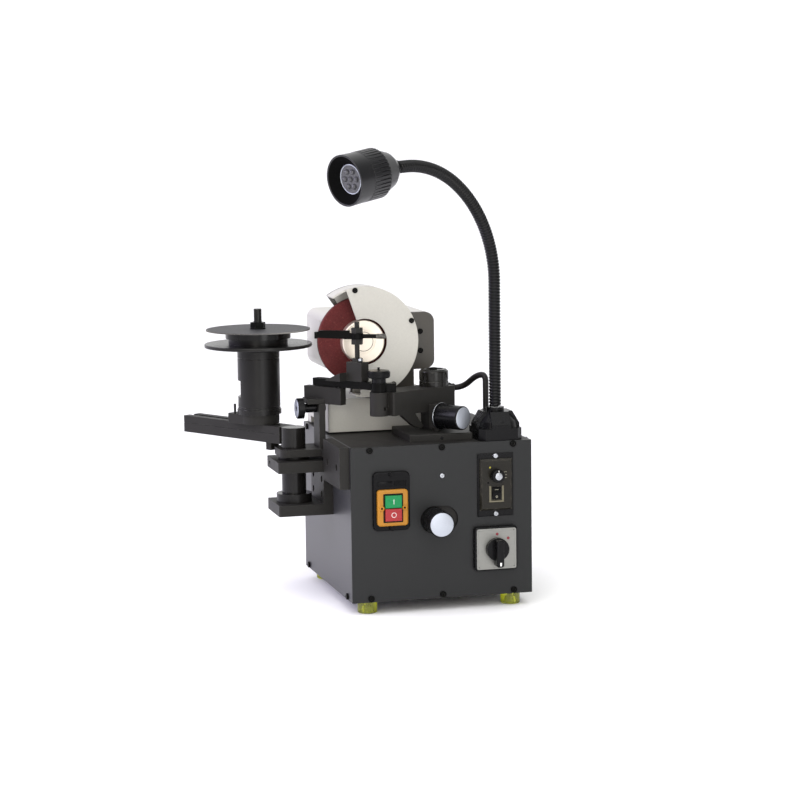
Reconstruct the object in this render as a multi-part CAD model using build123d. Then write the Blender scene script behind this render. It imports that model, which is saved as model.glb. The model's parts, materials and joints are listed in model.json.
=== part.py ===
"""Saw blade sharpener: every piece is its own solid in its own STEP file.

Millimetres, +Z up. Z = 0 is the plane the feet stand on, the cabinet is centred on X = 0 and Y = 0,
and its front panel faces -Y.
"""
import math
import os

from build123d import *

# Clearances
FIT = 0.05
SLIDE = 0.3
HOLE = 0.1
GAP = 0.4

# Cabinet
CAB_W = 300.0
CAB_D = 340.0
CAB_H = 250.0
FOOT_H = 20.0
FOOT_D = 32.0
FOOT_INSET = (30.0, 24.0)
FOOT_RECESS_D = 12.5
FOOT_RECESS_H = 8.0
FOOT_SEAT = 12.0
SHEET = 3.0
FRONT_T = 4.0
TOP_T = 10.0
BASE_T = 12.0
DOUBLER_T = 10.0
XW = CAB_W / 2
YF = -CAB_D / 2
YR = CAB_D / 2
ZB = FOOT_H
ZT = FOOT_H + CAB_H

# Case screws (M6 button head) and the smaller screws
CASE_HEAD_D = 10.5
CASE_HEAD_H = 3.3
CASE_SHANK_D = 6.0
CASE_SHANK_L = 20.0
SCREW_SPREAD = 119.0
SIDE_SCREW_Y = 139.0
PAN_HEAD_D = 8.0
PAN_HEAD_H = 2.6
PAN_SHANK_D = 4.0
PAN_SHANK_L = 12.0
PANEL_SCREW_DROP = 51.0
SWITCH_SCREW_IN = 4.3
SPEED_SCREW_IN = 4.0
HEAD_SCREW_D = 9.0
HEAD_SCREW_H = 2.8
HEAD_SHANK_D = 5.0
HEAD_SHANK_L = 14.0

# Switch
SWITCH_X = -85.0
SWITCH_Z = ZT - 87.0
SWITCH_W = 60.0
SWITCH_H = 95.0
SWITCH_T = 7.0
SWITCH_BODY_D = 38.0
BEZEL_W = 50.0
BEZEL_H = 58.0
BEZEL_T = 8.0
BEZEL_DROP = 9.5
BUTTON_W = 27.0
BUTTON_H = 20.0
BUTTON_PITCH = 21.0
BUTTON_PROUD = 5.0
BUTTON_TRAVEL = 3.0
BUTTON_L = 22.0

# Speed controller
SPEED_X = 88.5
SPEED_Z = ZT - 70.0
SPEED_W = 60.0
SPEED_H = 102.0
SPEED_T = 3.0
SPEED_BODY_D = 45.0
FACE_W = 54.0
FACE_H = 83.0
FACE_T = 5.0
SPEED_KNOB_D = 21.0
SPEED_KNOB_L = 14.0
SPEED_KNOB_UP = 16.0
SPEED_SHAFT_D = 7.0
ROCKER_W = 14.0
ROCKER_R = 10.0
ROCKER_DROP = 13.0
ROCKER_TILT = 8.0

# Selector
SELECT_X = 87.0
SELECT_Z = ZT - 173.0
SELECT_W = 72.0
SELECT_T = 10.0
SELECT_PLATE_W = 60.0
SELECT_PLATE_T = 1.5
SELECT_BODY_D = 54.0
SELECT_BODY_L = 40.0
SELECT_KNOB_D = 37.0
SELECT_KNOB_T = 9.0
HANDLE_W = 12.0
HANDLE_T = 14.0
HANDLE_UP = 17.0
HANDLE_DOWN = 27.0
SELECT_SHAFT_D = 12.0

# Hand adjuster in the front slot
HAND_X = -14.0
HAND_Z = ZT - 122.0
HAND_TRAVEL = 18.0
HAND_SLOT_H = 44.0
SLIDER_W = 80.0
SLIDER_H = 60.0
SLIDER_T = 5.0
GUIDE_T = 4.0
HAND_STEM_D = 16.0
HAND_KNOB_D = 42.0
HAND_KNOB_L = 47.0
HAND_KNOB_GAP = 1.0

# Mains inlet
INLET_X = 95.0
INLET_Z = ZB + 60.0
INLET_W = 28.0
INLET_H = 20.0
INLET_L = 30.0

# Slide ways and plinth
WAY_W = 20.0
WAY_H = 12.0
WAY_Y = (YF + 210.0, YF + 290.0)
WAY_X = (-138.0, 62.0)
PLINTH_X = (-145.0, 45.0)
PLINTH_Y = (YF + 170.0, YF + 330.0)
PLINTH_LIFT = 2.5
PLINTH_TOP = ZT + 57.0
PLINTH_WALL = 8.0
PLINTH_ROOF = 12.0
PAD_X = (-105.0, 5.0)
PAD_L = 44.0
HEAD_TRAVEL = 20.0
FOLLOWER_D = 12.0

# Feed motor and cams
CAM_X = -60.0
CAM_Y = YF + 240.0
CAM_SHAFT_D = 16.0
GEARBOX_X = 100.0
GEARBOX_Y = 80.0
GEARBOX_H = 62.0
GEARBOX_R = 6.0
GEARBOX_BORE = 20.0
FEED_MOTOR_D = 74.0
FEED_MOTOR_L = 90.0
FEED_MOTOR_LIFT = 3.0
FEED_CAM_R = 22.0
FEED_CAM_E = 6.0
HEAD_CAM_R = 26.0
HEAD_CAM_E = 10.0
CAM_T = 12.0
FEED_CAM_Z = ZT - 75.0
HEAD_CAM_Z = ZT - 45.0
CAM_CLEAR = 1.0

# Grinding head
WHEEL_X = -90.0
WHEEL_Z = ZT + 153.5
WHEEL_R = 72.0
WHEEL_Y = (YF + 162.0, YF + 172.0)
HUB_R = 35.5
HUB_T = 18.0
HUB_FACE_T = 3.0
HUB_GROOVE_D = 39.0
HUB_GROOVE_W = 1.0
HUB_GROOVE_H = 0.8
COLLAR_PLATE_D = 60.0
COLLAR_PLATE_T = 6.0
SPINDLE_D = 20.0
SPINDLE_TAIL_D = 16.0
ROTOR_D = 52.0
BEARING_L = 12.0
GUARD_R = 91.0
GUARD_T = 3.0
GUARD_BACK_Y = YF + 180.0
GUARD_BACK_T = 4.0
GUARD_FRONT_Y = YF + 142.0
RIM_START_ANGLE = -100.0
RIM_END_ANGLE = 125.0
GUARD_START_ANGLE = -95.0
GUARD_END_ANGLE = 109.0
GUARD_EYE_R = 38.0
GUARD_POST_D = 9.0
GUARD_POST_ANGLES = (100.0, 22.0, -56.0)
COVER_X = (-142.0, 40.5)
COVER_Z = (ZT + 100.0, ZT + 195.0)
COVER_T = 8.0
COVER_R = 16.0
HOUSING_Y = YF + 340.0
HOUSING_WALL = 4.0
PILLAR_X = (-60.0, 5.0)
PILLAR_D = 90.0
PILLAR_FOOT = 8.0
PILLAR_TOE = (10.0, 7.0, 4.0, 6.0)
PILLAR_LAP = 10.0
MOTOR_D = 72.0
MOTOR_L = 100.0
COVER_SCREWS = ((16.5, WHEEL_Z + 9.5), (16.5, WHEEL_Z - 22.5),
                (-130.0, WHEEL_Z + 28.5), (-130.0, WHEEL_Z - 40.5))

# Tooth feed
BASE_X = (-44.0, 60.0)
BASE_Y = (YF + 30.0, YF + 146.0)
BASE_H = 12.0
ARM_X = 20.0
ARM_Y = YF + 115.0
ARM_ANGLE = 207.1
ARM_L = 120.0
ARM_W = 48.0
ARM_TAIL = 26.0
ARM_Z = (ZT + 42.0, ZT + 80.0)
ARM_BOSS_D = 30.0
ARM_SHAFT_D = 20.0
ARM_CAP_D = 48.0
ARM_CAP_H = 26.0
TOWER_D = 44.0
LEVER_L = 108.0
LEVER_TURN = -91.2
LEVER_W = 18.0
ROLLER_R = 8.0
BAR_ANGLE = 125.0
BAR_L = 137.0
BAR_W = 16.0
BAR_H = 12.0
BAR_LIFT = 3.0
EYE_D = 26.0
CLAMP_SCREW_D = 10.0
CLAMP_KNOB_D = 36.0
CLAMP_KNOB_H = 12.0
CLAMP_NECK_D = 23.0
SADDLE_T = 45.0
SADDLE_L = 32.0
SADDLE_W = 18.0
SADDLE_H = 31.0
SADDLE_TOE = 30.0
SADDLE_SHOULDER = 17.0
SADDLE_COLLAR_H = 6.0
BAR_SLOT = (23.0, 126.0)
BAR_SLOT_W = 5.0
BAR_SLOT_D = 7.0
BAR_SLOT_UNDER_W = 10.0
BAR_SLOT_UNDER_H = 3.0
POST_D = 8.0
POST_TOP = ZT + 191.0
NUT_AF = 17.0
NUT_H = 8.0
PAWL_Z = ZT + 163.0
PAWL_H = 10.0
PAWL_ANGLE = 155.0
PAWL_L = 66.0
PAWL_T = 6.0
PAWL_EYE_D = 20.0
PAWL_ROOT = 12.0
PAWL_BLADE_H = 14.0
PAWL_NOSE = (2.0, 11.0)
PAWL_SLOPE = 5.0
PAWL_ROD_D = 7.0
PAWL_ROD_L = 46.0

# Stroke stop
STROKE_X = 14.6
STROKE_Y = YF + 60.0
STROKE_Z = ZT + 37.0
STROKE_ANGLE = -55.5
STROKE_BLOCK_L = 14.0
STROKE_BLOCK_W = 24.0
STROKE_BLOCK_H = 38.0
STROKE_STUD_D = 14.0
STROKE_SCREW_D = 12.0
STROKE_KNOB_D = 39.0
STROKE_KNOB_L = 48.0

# Feed sensor and its lead
SENSOR_X = (52.0, 58.0)
SENSOR_Y = YF + 155.0
SENSOR_Z = ZT + 70.0
SENSOR_D = 14.0
SENSOR_END = 66.0
LEAD_D = 10.0
LEAD_FOOT = (XW - 49.0, YF + 90.0)
LEAD_TOP = ZT + 98.0

# Swivel bracket and blade holder
PIVOT_X = -XW - 55.0
PIVOT_Y = YF + 170.0
BRACKET_REACH = 35.0
BRACKET_WEB = 15.5
BRACKET_W = 92.0
BRACKET_Z = (ZT - 126.0, ZT - 37.0)
BRACKET_ARM = 18.0
SHAFT_D = 40.0
COLLAR_D = 58.0
COLLAR_H = 14.0
PLATE_Z = ZT - 31.0
PLATE_T = 12.0
PLATE_REACH = 27.0
PLATE_W = 68.0
SIDE_BLOCK_T = 16.0
SIDE_BLOCK_Y = (YF + 8.0, YF + 122.0)
SIDE_BLOCK_Z = ZT - 67.0
GUIDE_POST_X = (-XW - 18.0, -XW - 8.0)
GUIDE_POST_Y = (YF + 137.0, YF + 179.0)
GUIDE_POST_TOP = ZT + 54.5
GUIDE_BAR_T = 8.0
GUIDE_T0 = 71.0
GUIDE_T1 = 151.0
GUIDE_SIDE = (0.0, 13.0)
GUIDE_GAP = 1.0
GUIDE_KNOB_Z = ZT + 46.5
GUIDE_KNOB_Y = YF + 158.0
GUIDE_KNOB_D = 34.0
GUIDE_KNOB_T = 11.0
GUIDE_HUB_D = 15.0
GUIDE_HUB_L = 22.0
GUIDE_SCREW_D = 10.0
WEB_SCREW_Y = 30.0
WEB_SCREW_Z = (ZT - 94.0, ZT - 69.0)
BLOCK_SCREW_Y = (YF + 30.0, YF + 95.0)
BLOCK_SCREW_Z = ZT - 34.0
RAIL_ANGLE = 121.4
RAIL_Z = (ZT - 13.0, ZT + 15.0)
RAIL_W = 36.0
RAIL_END = 250.0
RAIL_START = 14.0
RAIL_STOP = (44.0, 56.0)
RAIL_STOP_H = 14.0
SLOT_W = 10.0
SLOT_D = 10.0
SLOT_UNDER_W = 18.0
SLOT_UNDER_H = 5.0
CARRIAGE_S = 80.0
CARRIAGE_X = (-4.0, 44.0)
CARRIAGE_W = 65.0
CARRIAGE_BOSS_D = 66.0
CARRIAGE_H = 15.7
STOP_PIN_D = 4.0
STOP_PIN_L = 16.0
COLUMN_D = 70.0
COLUMN_H = 105.0
COLUMN_FLAT_IN = 5.5
COLUMN_FLAT_ANGLE = -15.0
COLUMN_FLAT_Z = (29.0, 56.0)
ARBOR_SHAFT_D = 30.0
ARBOR_SHAFT_L = 66.0
FLANGE_D = 178.0
FLANGE_T = 5.5
FLANGE_NECK_H = 6.0
STEP1_D = 98.0
STEP1_H = 9.0
STEP2_D = 108.0
STEP2_H = 13.0
ARBOR_D = 14.0
ARBOR_END_D = 13.0
ARBOR_END_L = 20.2
BLADE_D = 172.0
BLADE_T = 2.0
BLADE_TEETH = 180
TOOTH_H = 1.8
ARBOR_NUT_AF = 22.0
ARBOR_NUT_H = 11.0

# Lamp
LAMP_X = XW - 48.4
LAMP_Y = YF + 39.7
LAMP_W = 72.0
LAMP_BLOCK_H = 19.0
LAMP_DOME_H = 26.0
LAMP_NUT_D = 29.0
LAMP_NUT_H = 6.0
NECK_D = 20.0
NECK_BORE = 11.0
NECK_RIB = 0.8
NECK_RIBS = 156
NECK_HEADING = 207.5
NECK_RISE = ZT + 251.5
NECK_R1 = 198.0
NECK_TURN1 = 55.0
NECK_R2 = 169.0
NECK_TURN2 = 38.0
NECK_END = 18.0
LAMP_PITCH = 9.0
FERRULE_D = 22.0
FERRULE_L = 5.0
TONGUE_T = 8.0
TONGUE_R = 8.0
LAMP_PIVOT = 15.0
LAMP_PIN_D = 6.0
LAMP_MOUTH = 109.0
LAMP_MOUTH_R = 40.0
LAMP_TAIL = 11.0
LAMP_TAIL_R = 19.0
LAMP_BACK = 22.0
LAMP_BACK_R = 28.0
LAMP_SHOULDER = 47.0
LAMP_SHOULDER_R = 37.5
LAMP_WALL = 2.5
LAMP_FLUTES = 40
LAMP_FLUTE_END = 80.0
LENS_X = 90.0
LENS_T = 6.0
LENS_D = 47.0
LENS_LIP = 4.0
LED_D = 9.0


def span(x0, x1, y0, y1, z0, z1):
    """Block between two opposite corners."""
    return Pos((x0 + x1) / 2, (y0 + y1) / 2, (z0 + z1) / 2) * Box(x1 - x0, y1 - y0, z1 - z0)


def rod_z(d, x, y, z0, z1):
    return Pos(x, y, (z0 + z1) / 2) * Cylinder(d / 2, z1 - z0)


def rod_y(d, x, z, y0, y1):
    return Pos(x, (y0 + y1) / 2, z) * Rot(90, 0, 0) * Cylinder(d / 2, y1 - y0)


def rod_x(d, y, z, x0, x1):
    return Pos((x0 + x1) / 2, y, z) * Rot(0, 90, 0) * Cylinder(d / 2, x1 - x0)


def forward(sketch, x, z, y_back, y_front):
    """Extrude a sketch drawn in X and Z from y_back to y_front, towards the viewer."""
    plane = Plane(origin=(x, y_back, z), x_dir=(1, 0, 0), z_dir=(0, -1, 0))
    return extrude(plane * sketch, y_back - y_front)


def upright(points, y0, y1):
    """Extrude an outline of (x, z) points from y0 to y1."""
    plane = Plane(origin=(0, y1, 0), x_dir=(1, 0, 0), z_dir=(0, -1, 0))
    return extrude(plane * Polygon(*points, align=None), y1 - y0)


def prism(points, z0, z1):
    """Extrude an outline of (x, y) points from z0 to z1."""
    return extrude(Plane.XY.offset(z0) * Polygon(*points, align=None), z1 - z0)


def polar(r, angle):
    a = math.radians(angle)
    return r * math.cos(a), r * math.sin(a)


def turned(x, y, angle):
    """Local frame at (x, y), its X axis turned about Z."""
    return Pos(x, y, 0) * Rot(0, 0, angle)


def world_xy(x, y, angle, along, across=0.0):
    """Position of a local (along, across) point of a turned frame."""
    ax, ay = polar(along, angle)
    cx, cy = polar(across, angle + 90)
    return x + ax + cx, y + ay + cy


def screw(head_d, head_h, shank_d, shank_l):
    """Button-head screw: the head stands on Z = 0, the shank goes down."""
    head = Pos(0, 0, head_h / 2) * Cylinder(head_d / 2, head_h)
    head = fillet(head.edges().group_by(Axis.Z)[-1], head_h * 0.45)
    shank = Pos(0, 0, -shank_l / 2) * Cylinder(shank_d / 2, shank_l)
    socket = extrude(Plane.XY.offset(head_h * 0.4) * RegularPolygon(head_d * 0.2, 6), head_h)
    return head + shank - socket


def drill(shank_d, shank_l):
    """Clearance hole for a screw, in the screw's own frame."""
    depth = shank_l + GAP
    return Pos(0, 0, -depth / 2) * Cylinder(shank_d / 2 + HOLE, depth)


TO_FRONT = Rot(90, 0, 0)
TO_REAR = Rot(-90, 0, 0)
TO_RIGHT = Rot(0, 90, 0)
TO_LEFT = Rot(0, -90, 0)
TO_BELOW = Rot(180, 0, 0)


def foot_places():
    x = XW - FOOT_INSET[0]
    y = YR - FOOT_INSET[1]
    return [(sx * x, sy * y) for sx in (-1, 1) for sy in (-1, 1)]


def case_seats():
    """Where each case screw's head sits, with the turn that points it outwards."""
    seats = []
    for z in (ZT - TOP_T / 2, ZB + BASE_T / 2):
        for x in (-SCREW_SPREAD, 0, SCREW_SPREAD):
            seats.append(Pos(x, YF, z) * TO_FRONT)
        for x in (-SCREW_SPREAD, SCREW_SPREAD):
            seats.append(Pos(x, YR, z) * TO_REAR)
        seats.append(Pos(-XW, SIDE_SCREW_Y, z) * TO_LEFT)
        for y in (-SIDE_SCREW_Y, SIDE_SCREW_Y):
            seats.append(Pos(XW, y, z) * TO_RIGHT)
    seats.append(Pos(-XW, -SIDE_SCREW_Y, ZB + BASE_T / 2) * TO_LEFT)
    for x, y in foot_places():
        seats.append(Pos(x, y, FOOT_SEAT) * TO_BELOW)
    return seats


def bracket_seats():
    """Sunk case screws that hold the swivel bracket and the support plate to the left wall."""
    x = -XW - CASE_SHANK_L / 2 + 1
    seats = []
    for z in WEB_SCREW_Z:
        for y in (-WEB_SCREW_Y, WEB_SCREW_Y):
            seats.append(Pos(x, PIVOT_Y + y, z) * TO_LEFT)
    for y in BLOCK_SCREW_Y:
        seats.append(Pos(x, y, BLOCK_SCREW_Z) * TO_LEFT)
    return seats


def bored(piece, seats, sink=0.0):
    """Piece with a clearance hole at each seat, and a counterbore when sink is set."""
    for seat in seats:
        piece -= seat * drill(CASE_SHANK_D, CASE_SHANK_L)
        if sink:
            piece -= seat * Pos(0, 0, sink / 2) * Cylinder(CASE_HEAD_D / 2 + GAP, sink)
    return piece


def base_plate():
    plate = span(-XW + SHEET, XW - SHEET, YF + FRONT_T, YR - SHEET, ZB, ZB + BASE_T)
    return bored(plate, case_seats())


def inlet_hole():
    w = INLET_W / 2 + SLIDE
    h = INLET_H / 2 + SLIDE
    return span(INLET_X - w, INLET_X + w, YR - 2 * SHEET, YR + 1, INLET_Z - h, INLET_Z + h)


def cabinet_shell():
    shell = span(-XW, XW, YF + FRONT_T, YR, ZB, ZT)
    shell = fillet(shell.edges().filter_by(Axis.Z).group_by(Axis.Y)[-1], SHEET)
    shell -= span(-XW + SHEET, XW - SHEET, YF, YR - SHEET, ZB - 1, ZT + 1)
    inner = -XW + SHEET
    y0 = SIDE_BLOCK_Y[0] + SHEET
    shell += span(inner - 1, inner + DOUBLER_T, y0, BRACKET_W / 2, BRACKET_Z[0], ZT - TOP_T - SLIDE)
    shell -= inlet_hole()
    for k in range(6):
        z = ZT - 50 - 14 * k
        shell -= Pos(-40, YR, z) * Rot(90, 0, 0) * extrude(SlotOverall(80, 5), 2 * SHEET, both=True)
    return bored(shell, case_seats() + bracket_seats())


def follower_place():
    """Head follower pin, clear of the head cam at its far side."""
    return CAM_X + HEAD_CAM_R + HEAD_CAM_E + FOLLOWER_D / 2 + CAM_CLEAR, CAM_Y


def top_plate():
    plate = span(-XW + SHEET, XW - SHEET, YF + FRONT_T, YR - SHEET, ZT - TOP_T, ZT)
    for y in WAY_Y:
        plate += span(WAY_X[0], WAY_X[1], y - WAY_W / 2, y + WAY_W / 2, ZT - 1, ZT + WAY_H)
    plate += rod_z(CAM_SHAFT_D + 16, CAM_X, CAM_Y, ZT - TOP_T - 12, ZT - TOP_T + 1)
    plate -= rod_z(CAM_SHAFT_D + 2 * FIT, CAM_X, CAM_Y, ZT - TOP_T - 13, ZT - 2)
    plate -= rod_z(ARM_SHAFT_D + 6, ARM_X, ARM_Y, ZT - TOP_T - 1, ZT + 1)
    fx, fy = follower_place()
    r = FOLLOWER_D / 2 + 3
    plate -= span(fx - r, fx + HEAD_TRAVEL + r, fy - r, fy + r, ZT - TOP_T - 1, ZT + 1)
    plate -= rod_z(NECK_BORE, LAMP_X, LAMP_Y, ZT - TOP_T - 1, ZT + 1)
    return bored(plate, case_seats())


def slider_guides():
    """Two L rails behind the front panel that carry the hand slider."""
    y0 = YF + FRONT_T
    y1 = y0 + SLIDER_T + 2 * SLIDE
    reach = SLIDER_W / 2 + 4
    rails = []
    for side in (-1, 1):
        edge = HAND_Z + side * (SLIDER_H / 2 + SLIDE)
        outer = edge + side * GUIDE_T
        lip = edge - side * 6
        x0 = HAND_X - reach
        x1 = HAND_X + HAND_TRAVEL + reach
        rails.append(span(x0, x1, y0 - 1, y1 + GUIDE_T, min(edge, outer), max(edge, outer)))
        rails.append(span(x0, x1, y1, y1 + GUIDE_T, min(lip, outer), max(lip, outer)))
    return rails


def front_panel():
    panel = span(-XW, XW, YF, YF + FRONT_T, ZB, ZT)
    for rail in slider_guides():
        panel += rail
    back = YF + FRONT_T + 1
    ahead = YF - 1
    slot = SlotOverall(HAND_SLOT_H + HAND_TRAVEL, HAND_SLOT_H)
    panel -= forward(slot, HAND_X + HAND_TRAVEL / 2, HAND_Z, back, ahead)
    switch = Rectangle(SWITCH_W - 10 + 2 * SLIDE, SWITCH_H - 16 + 2 * SLIDE)
    panel -= forward(switch, SWITCH_X, SWITCH_Z, back, ahead)
    speed = Rectangle(SPEED_W - 10 + 2 * SLIDE, SPEED_H - 22 + 2 * SLIDE)
    panel -= forward(speed, SPEED_X, SPEED_Z, back, ahead)
    panel -= rod_y(SELECT_BODY_D + 2 * SLIDE, SELECT_X, SELECT_Z, ahead, back)
    for seat in pan_seats():
        panel -= seat * drill(PAN_SHANK_D, PAN_SHANK_L)
    return bored(panel, case_seats())


def case_screws():
    one = screw(CASE_HEAD_D, CASE_HEAD_H, CASE_SHANK_D, CASE_SHANK_L)
    return [seat * one for seat in case_seats() + bracket_seats()]


def feet():
    made = []
    for x, y in foot_places():
        foot = rod_z(FOOT_D, x, y, 0, FOOT_H)
        foot = chamfer(foot.edges().group_by(Axis.Z)[0], 1.5)
        foot -= rod_z(FOOT_RECESS_D, x, y, -1, FOOT_RECESS_H)
        foot -= rod_z(CASE_HEAD_D + 2 * GAP, x, y, 0, FOOT_SEAT)
        foot -= rod_z(CASE_SHANK_D + 2 * HOLE, x, y, 0, FOOT_H + 1)
        made.append(foot)
    return made


def pan_seats():
    """Pan-head screws of the switch, of the speed controller, and the one in the bare panel."""
    seats = []
    for side in (-1, 1):
        z = SWITCH_Z + side * (SWITCH_H / 2 - SWITCH_SCREW_IN)
        seats.append(Pos(SWITCH_X, YF - SWITCH_T, z) * TO_FRONT)
        z = SPEED_Z + side * (SPEED_H / 2 - SPEED_SCREW_IN)
        seats.append(Pos(SPEED_X, YF - SPEED_T, z) * TO_FRONT)
    seats.append(Pos(0, YF, ZT - PANEL_SCREW_DROP) * TO_FRONT)
    return seats


def pan_screws():
    one = screw(PAN_HEAD_D, PAN_HEAD_H, PAN_SHANK_D, PAN_SHANK_L)
    return [seat * one for seat in pan_seats()]


def button_places():
    """Centre heights of the start and stop buttons."""
    middle = SWITCH_Z - BEZEL_DROP
    return middle + BUTTON_PITCH / 2, middle - BUTTON_PITCH / 2


def button_pocket(y_back, y_front):
    w = BUTTON_W + 2 * SLIDE
    h = BUTTON_PITCH + BUTTON_H + 2 * SLIDE
    return forward(Rectangle(w, h), SWITCH_X, SWITCH_Z - BEZEL_DROP, y_back, y_front)


def switch_box():
    plate = RectangleRounded(SWITCH_W, SWITCH_H, 8)
    box = forward(plate, SWITCH_X, SWITCH_Z, YF, YF - SWITCH_T)
    box = fillet(box.faces().sort_by(Axis.Y)[0].edges(), 2)
    body = Rectangle(SWITCH_W - 10, SWITCH_H - 16)
    box += forward(body, SWITCH_X, SWITCH_Z, YF + SWITCH_BODY_D, YF - 1)
    deep = YF - SWITCH_T - BEZEL_T - BUTTON_PROUD + BUTTON_L + BUTTON_TRAVEL + 1
    box -= button_pocket(deep, YF - SWITCH_T - 1)
    for seat in pan_seats():
        box -= seat * drill(PAN_SHANK_D, PAN_SHANK_L)
    return box


def switch_bezel():
    y = YF - SWITCH_T
    z = SWITCH_Z - BEZEL_DROP
    bezel = forward(RectangleRounded(BEZEL_W, BEZEL_H, 5), SWITCH_X, z, y, y - BEZEL_T)
    bezel = chamfer(bezel.faces().sort_by(Axis.Y)[0].edges(), 2)
    return bezel - button_pocket(y + 1, y - BEZEL_T - 1)


def button(z):
    y = YF - SWITCH_T - BEZEL_T - BUTTON_PROUD
    key = forward(Rectangle(BUTTON_W, BUTTON_H), SWITCH_X, z, y + BUTTON_L, y)
    return fillet(key.faces().sort_by(Axis.Y)[0].edges(), 1.5)


def rocker_pivot():
    """Centre of the rocker's turn, in Y and Z."""
    return YF - SPEED_T - FACE_T + 2.5, SPEED_Z - ROCKER_DROP


def rocker_window(y_back, y_front):
    window = Rectangle(ROCKER_W + 2 * GAP, 2 * ROCKER_R + 2 * GAP)
    return forward(window, SPEED_X, rocker_pivot()[1], y_back, y_front)


def speed_box():
    box = forward(Rectangle(SPEED_W, SPEED_H), SPEED_X, SPEED_Z, YF, YF - SPEED_T)
    box = chamfer(box.faces().sort_by(Axis.Y)[0].edges(), 1)
    body = Rectangle(SPEED_W - 10, SPEED_H - 22)
    box += forward(body, SPEED_X, SPEED_Z, YF + SPEED_BODY_D, YF - 1)
    box -= rocker_window(rocker_pivot()[0] + ROCKER_R + 1, YF - SPEED_T - 1)
    z = SPEED_Z + SPEED_KNOB_UP
    box -= rod_y(SPEED_SHAFT_D + 2 * FIT, SPEED_X, z, YF - SPEED_T - 1, YF + 25)
    for seat in pan_seats():
        box -= seat * drill(PAN_SHANK_D, PAN_SHANK_L)
    return box


def speed_face():
    y = YF - SPEED_T
    face = forward(Rectangle(FACE_W, FACE_H), SPEED_X, SPEED_Z + 1, y, y - FACE_T)
    face = chamfer(face.faces().sort_by(Axis.Y)[0].edges(), 2.5)
    face -= rod_y(SPEED_SHAFT_D + 2, SPEED_X, SPEED_Z + SPEED_KNOB_UP, y - FACE_T - 1, y + 1)
    return face - rocker_window(y + 1, y - FACE_T - 1)


def speed_knob():
    y = YF - SPEED_T - FACE_T - GAP
    z = SPEED_Z + SPEED_KNOB_UP
    knob = rod_y(SPEED_KNOB_D, SPEED_X, z, y - SPEED_KNOB_L, y)
    knob = fillet(knob.faces().sort_by(Axis.Y)[0].edges(), 1.5)
    return knob + rod_y(SPEED_SHAFT_D, SPEED_X, z, y - 1, YF + 24)


def speed_rocker():
    y, z = rocker_pivot()
    rocker = rod_x(2 * ROCKER_R, y, z, SPEED_X - ROCKER_W / 2, SPEED_X + ROCKER_W / 2)
    for side in (-1, 1):
        wedge = Pos(SPEED_X, y, z) * Rot(side * ROCKER_TILT, 0, 0)
        rocker -= wedge * span(-ROCKER_W, ROCKER_W, -3 * ROCKER_R, -4.5, -3 * ROCKER_R, 3 * ROCKER_R)
    return rocker


def selector_frame():
    y = YF - SELECT_T
    frame = forward(RectangleRounded(SELECT_W, SELECT_W, 6), SELECT_X, SELECT_Z, YF, y)
    frame = fillet(frame.faces().sort_by(Axis.Y)[0].edges(), 2.5)
    frame += rod_y(SELECT_BODY_D, SELECT_X, SELECT_Z, YF - 1, YF + SELECT_BODY_L)
    return frame - rod_y(SELECT_SHAFT_D + 2 * FIT, SELECT_X, SELECT_Z, y - 1, YF + 25)


def selector_plate():
    y = YF - SELECT_T
    plate = RectangleRounded(SELECT_PLATE_W, SELECT_PLATE_W, 3)
    plate = forward(plate, SELECT_X, SELECT_Z, y, y - SELECT_PLATE_T)
    return plate - rod_y(SELECT_SHAFT_D + 4, SELECT_X, SELECT_Z, y - 5, y + 1)


def selector_handle():
    y = YF - SELECT_T - SELECT_PLATE_T - GAP
    knob = rod_y(SELECT_KNOB_D, SELECT_X, SELECT_Z, y - SELECT_KNOB_T, y)
    grip = RectangleRounded(HANDLE_W, HANDLE_UP + HANDLE_DOWN, 4)
    z = SELECT_Z + (HANDLE_UP - HANDLE_DOWN) / 2
    front = y - SELECT_KNOB_T - HANDLE_T
    handle = forward(grip, SELECT_X, z, y - SELECT_KNOB_T + 4, front)
    handle = fillet(handle.faces().sort_by(Axis.Y)[0].edges(), 2)
    return knob + handle + rod_y(SELECT_SHAFT_D, SELECT_X, SELECT_Z, y - 1, YF + 24)


def hand_slider():
    y = YF + FRONT_T + SLIDE
    plate = span(HAND_X - SLIDER_W / 2, HAND_X + SLIDER_W / 2, y, y + SLIDER_T,
                 HAND_Z - SLIDER_H / 2, HAND_Z + SLIDER_H / 2)
    tip = YF - HAND_KNOB_GAP - HAND_KNOB_L + 8
    return plate + rod_y(HAND_STEM_D, HAND_X, HAND_Z, tip, y + 1)


def hand_knob():
    back = YF - HAND_KNOB_GAP
    knob = rod_y(HAND_KNOB_D, HAND_X, HAND_Z, back - HAND_KNOB_L, back)
    knob = fillet(knob.faces().sort_by(Axis.Y)[0].edges(), 2)
    return knob - rod_y(HAND_STEM_D + 2 * FIT, HAND_X, HAND_Z, back - HAND_KNOB_L + 7, back + 1)


def power_inlet():
    flange = forward(RectangleRounded(INLET_W + 22, INLET_H + 10, 4), INLET_X, INLET_Z, YR + SHEET, YR)
    inlet = flange + forward(Rectangle(INLET_W, INLET_H), INLET_X, INLET_Z, YR + 1, YR - INLET_L)
    mouth = RectangleRounded(INLET_W - 5, INLET_H - 5, 2)
    inlet -= forward(mouth, INLET_X, INLET_Z, YR + SHEET + 1, YR - 16)
    for x in (-7, 0, 7):
        pin = Rectangle(2, 4)
        inlet += forward(pin, INLET_X + x, INLET_Z, YR, YR - 17)
    return inlet


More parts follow.
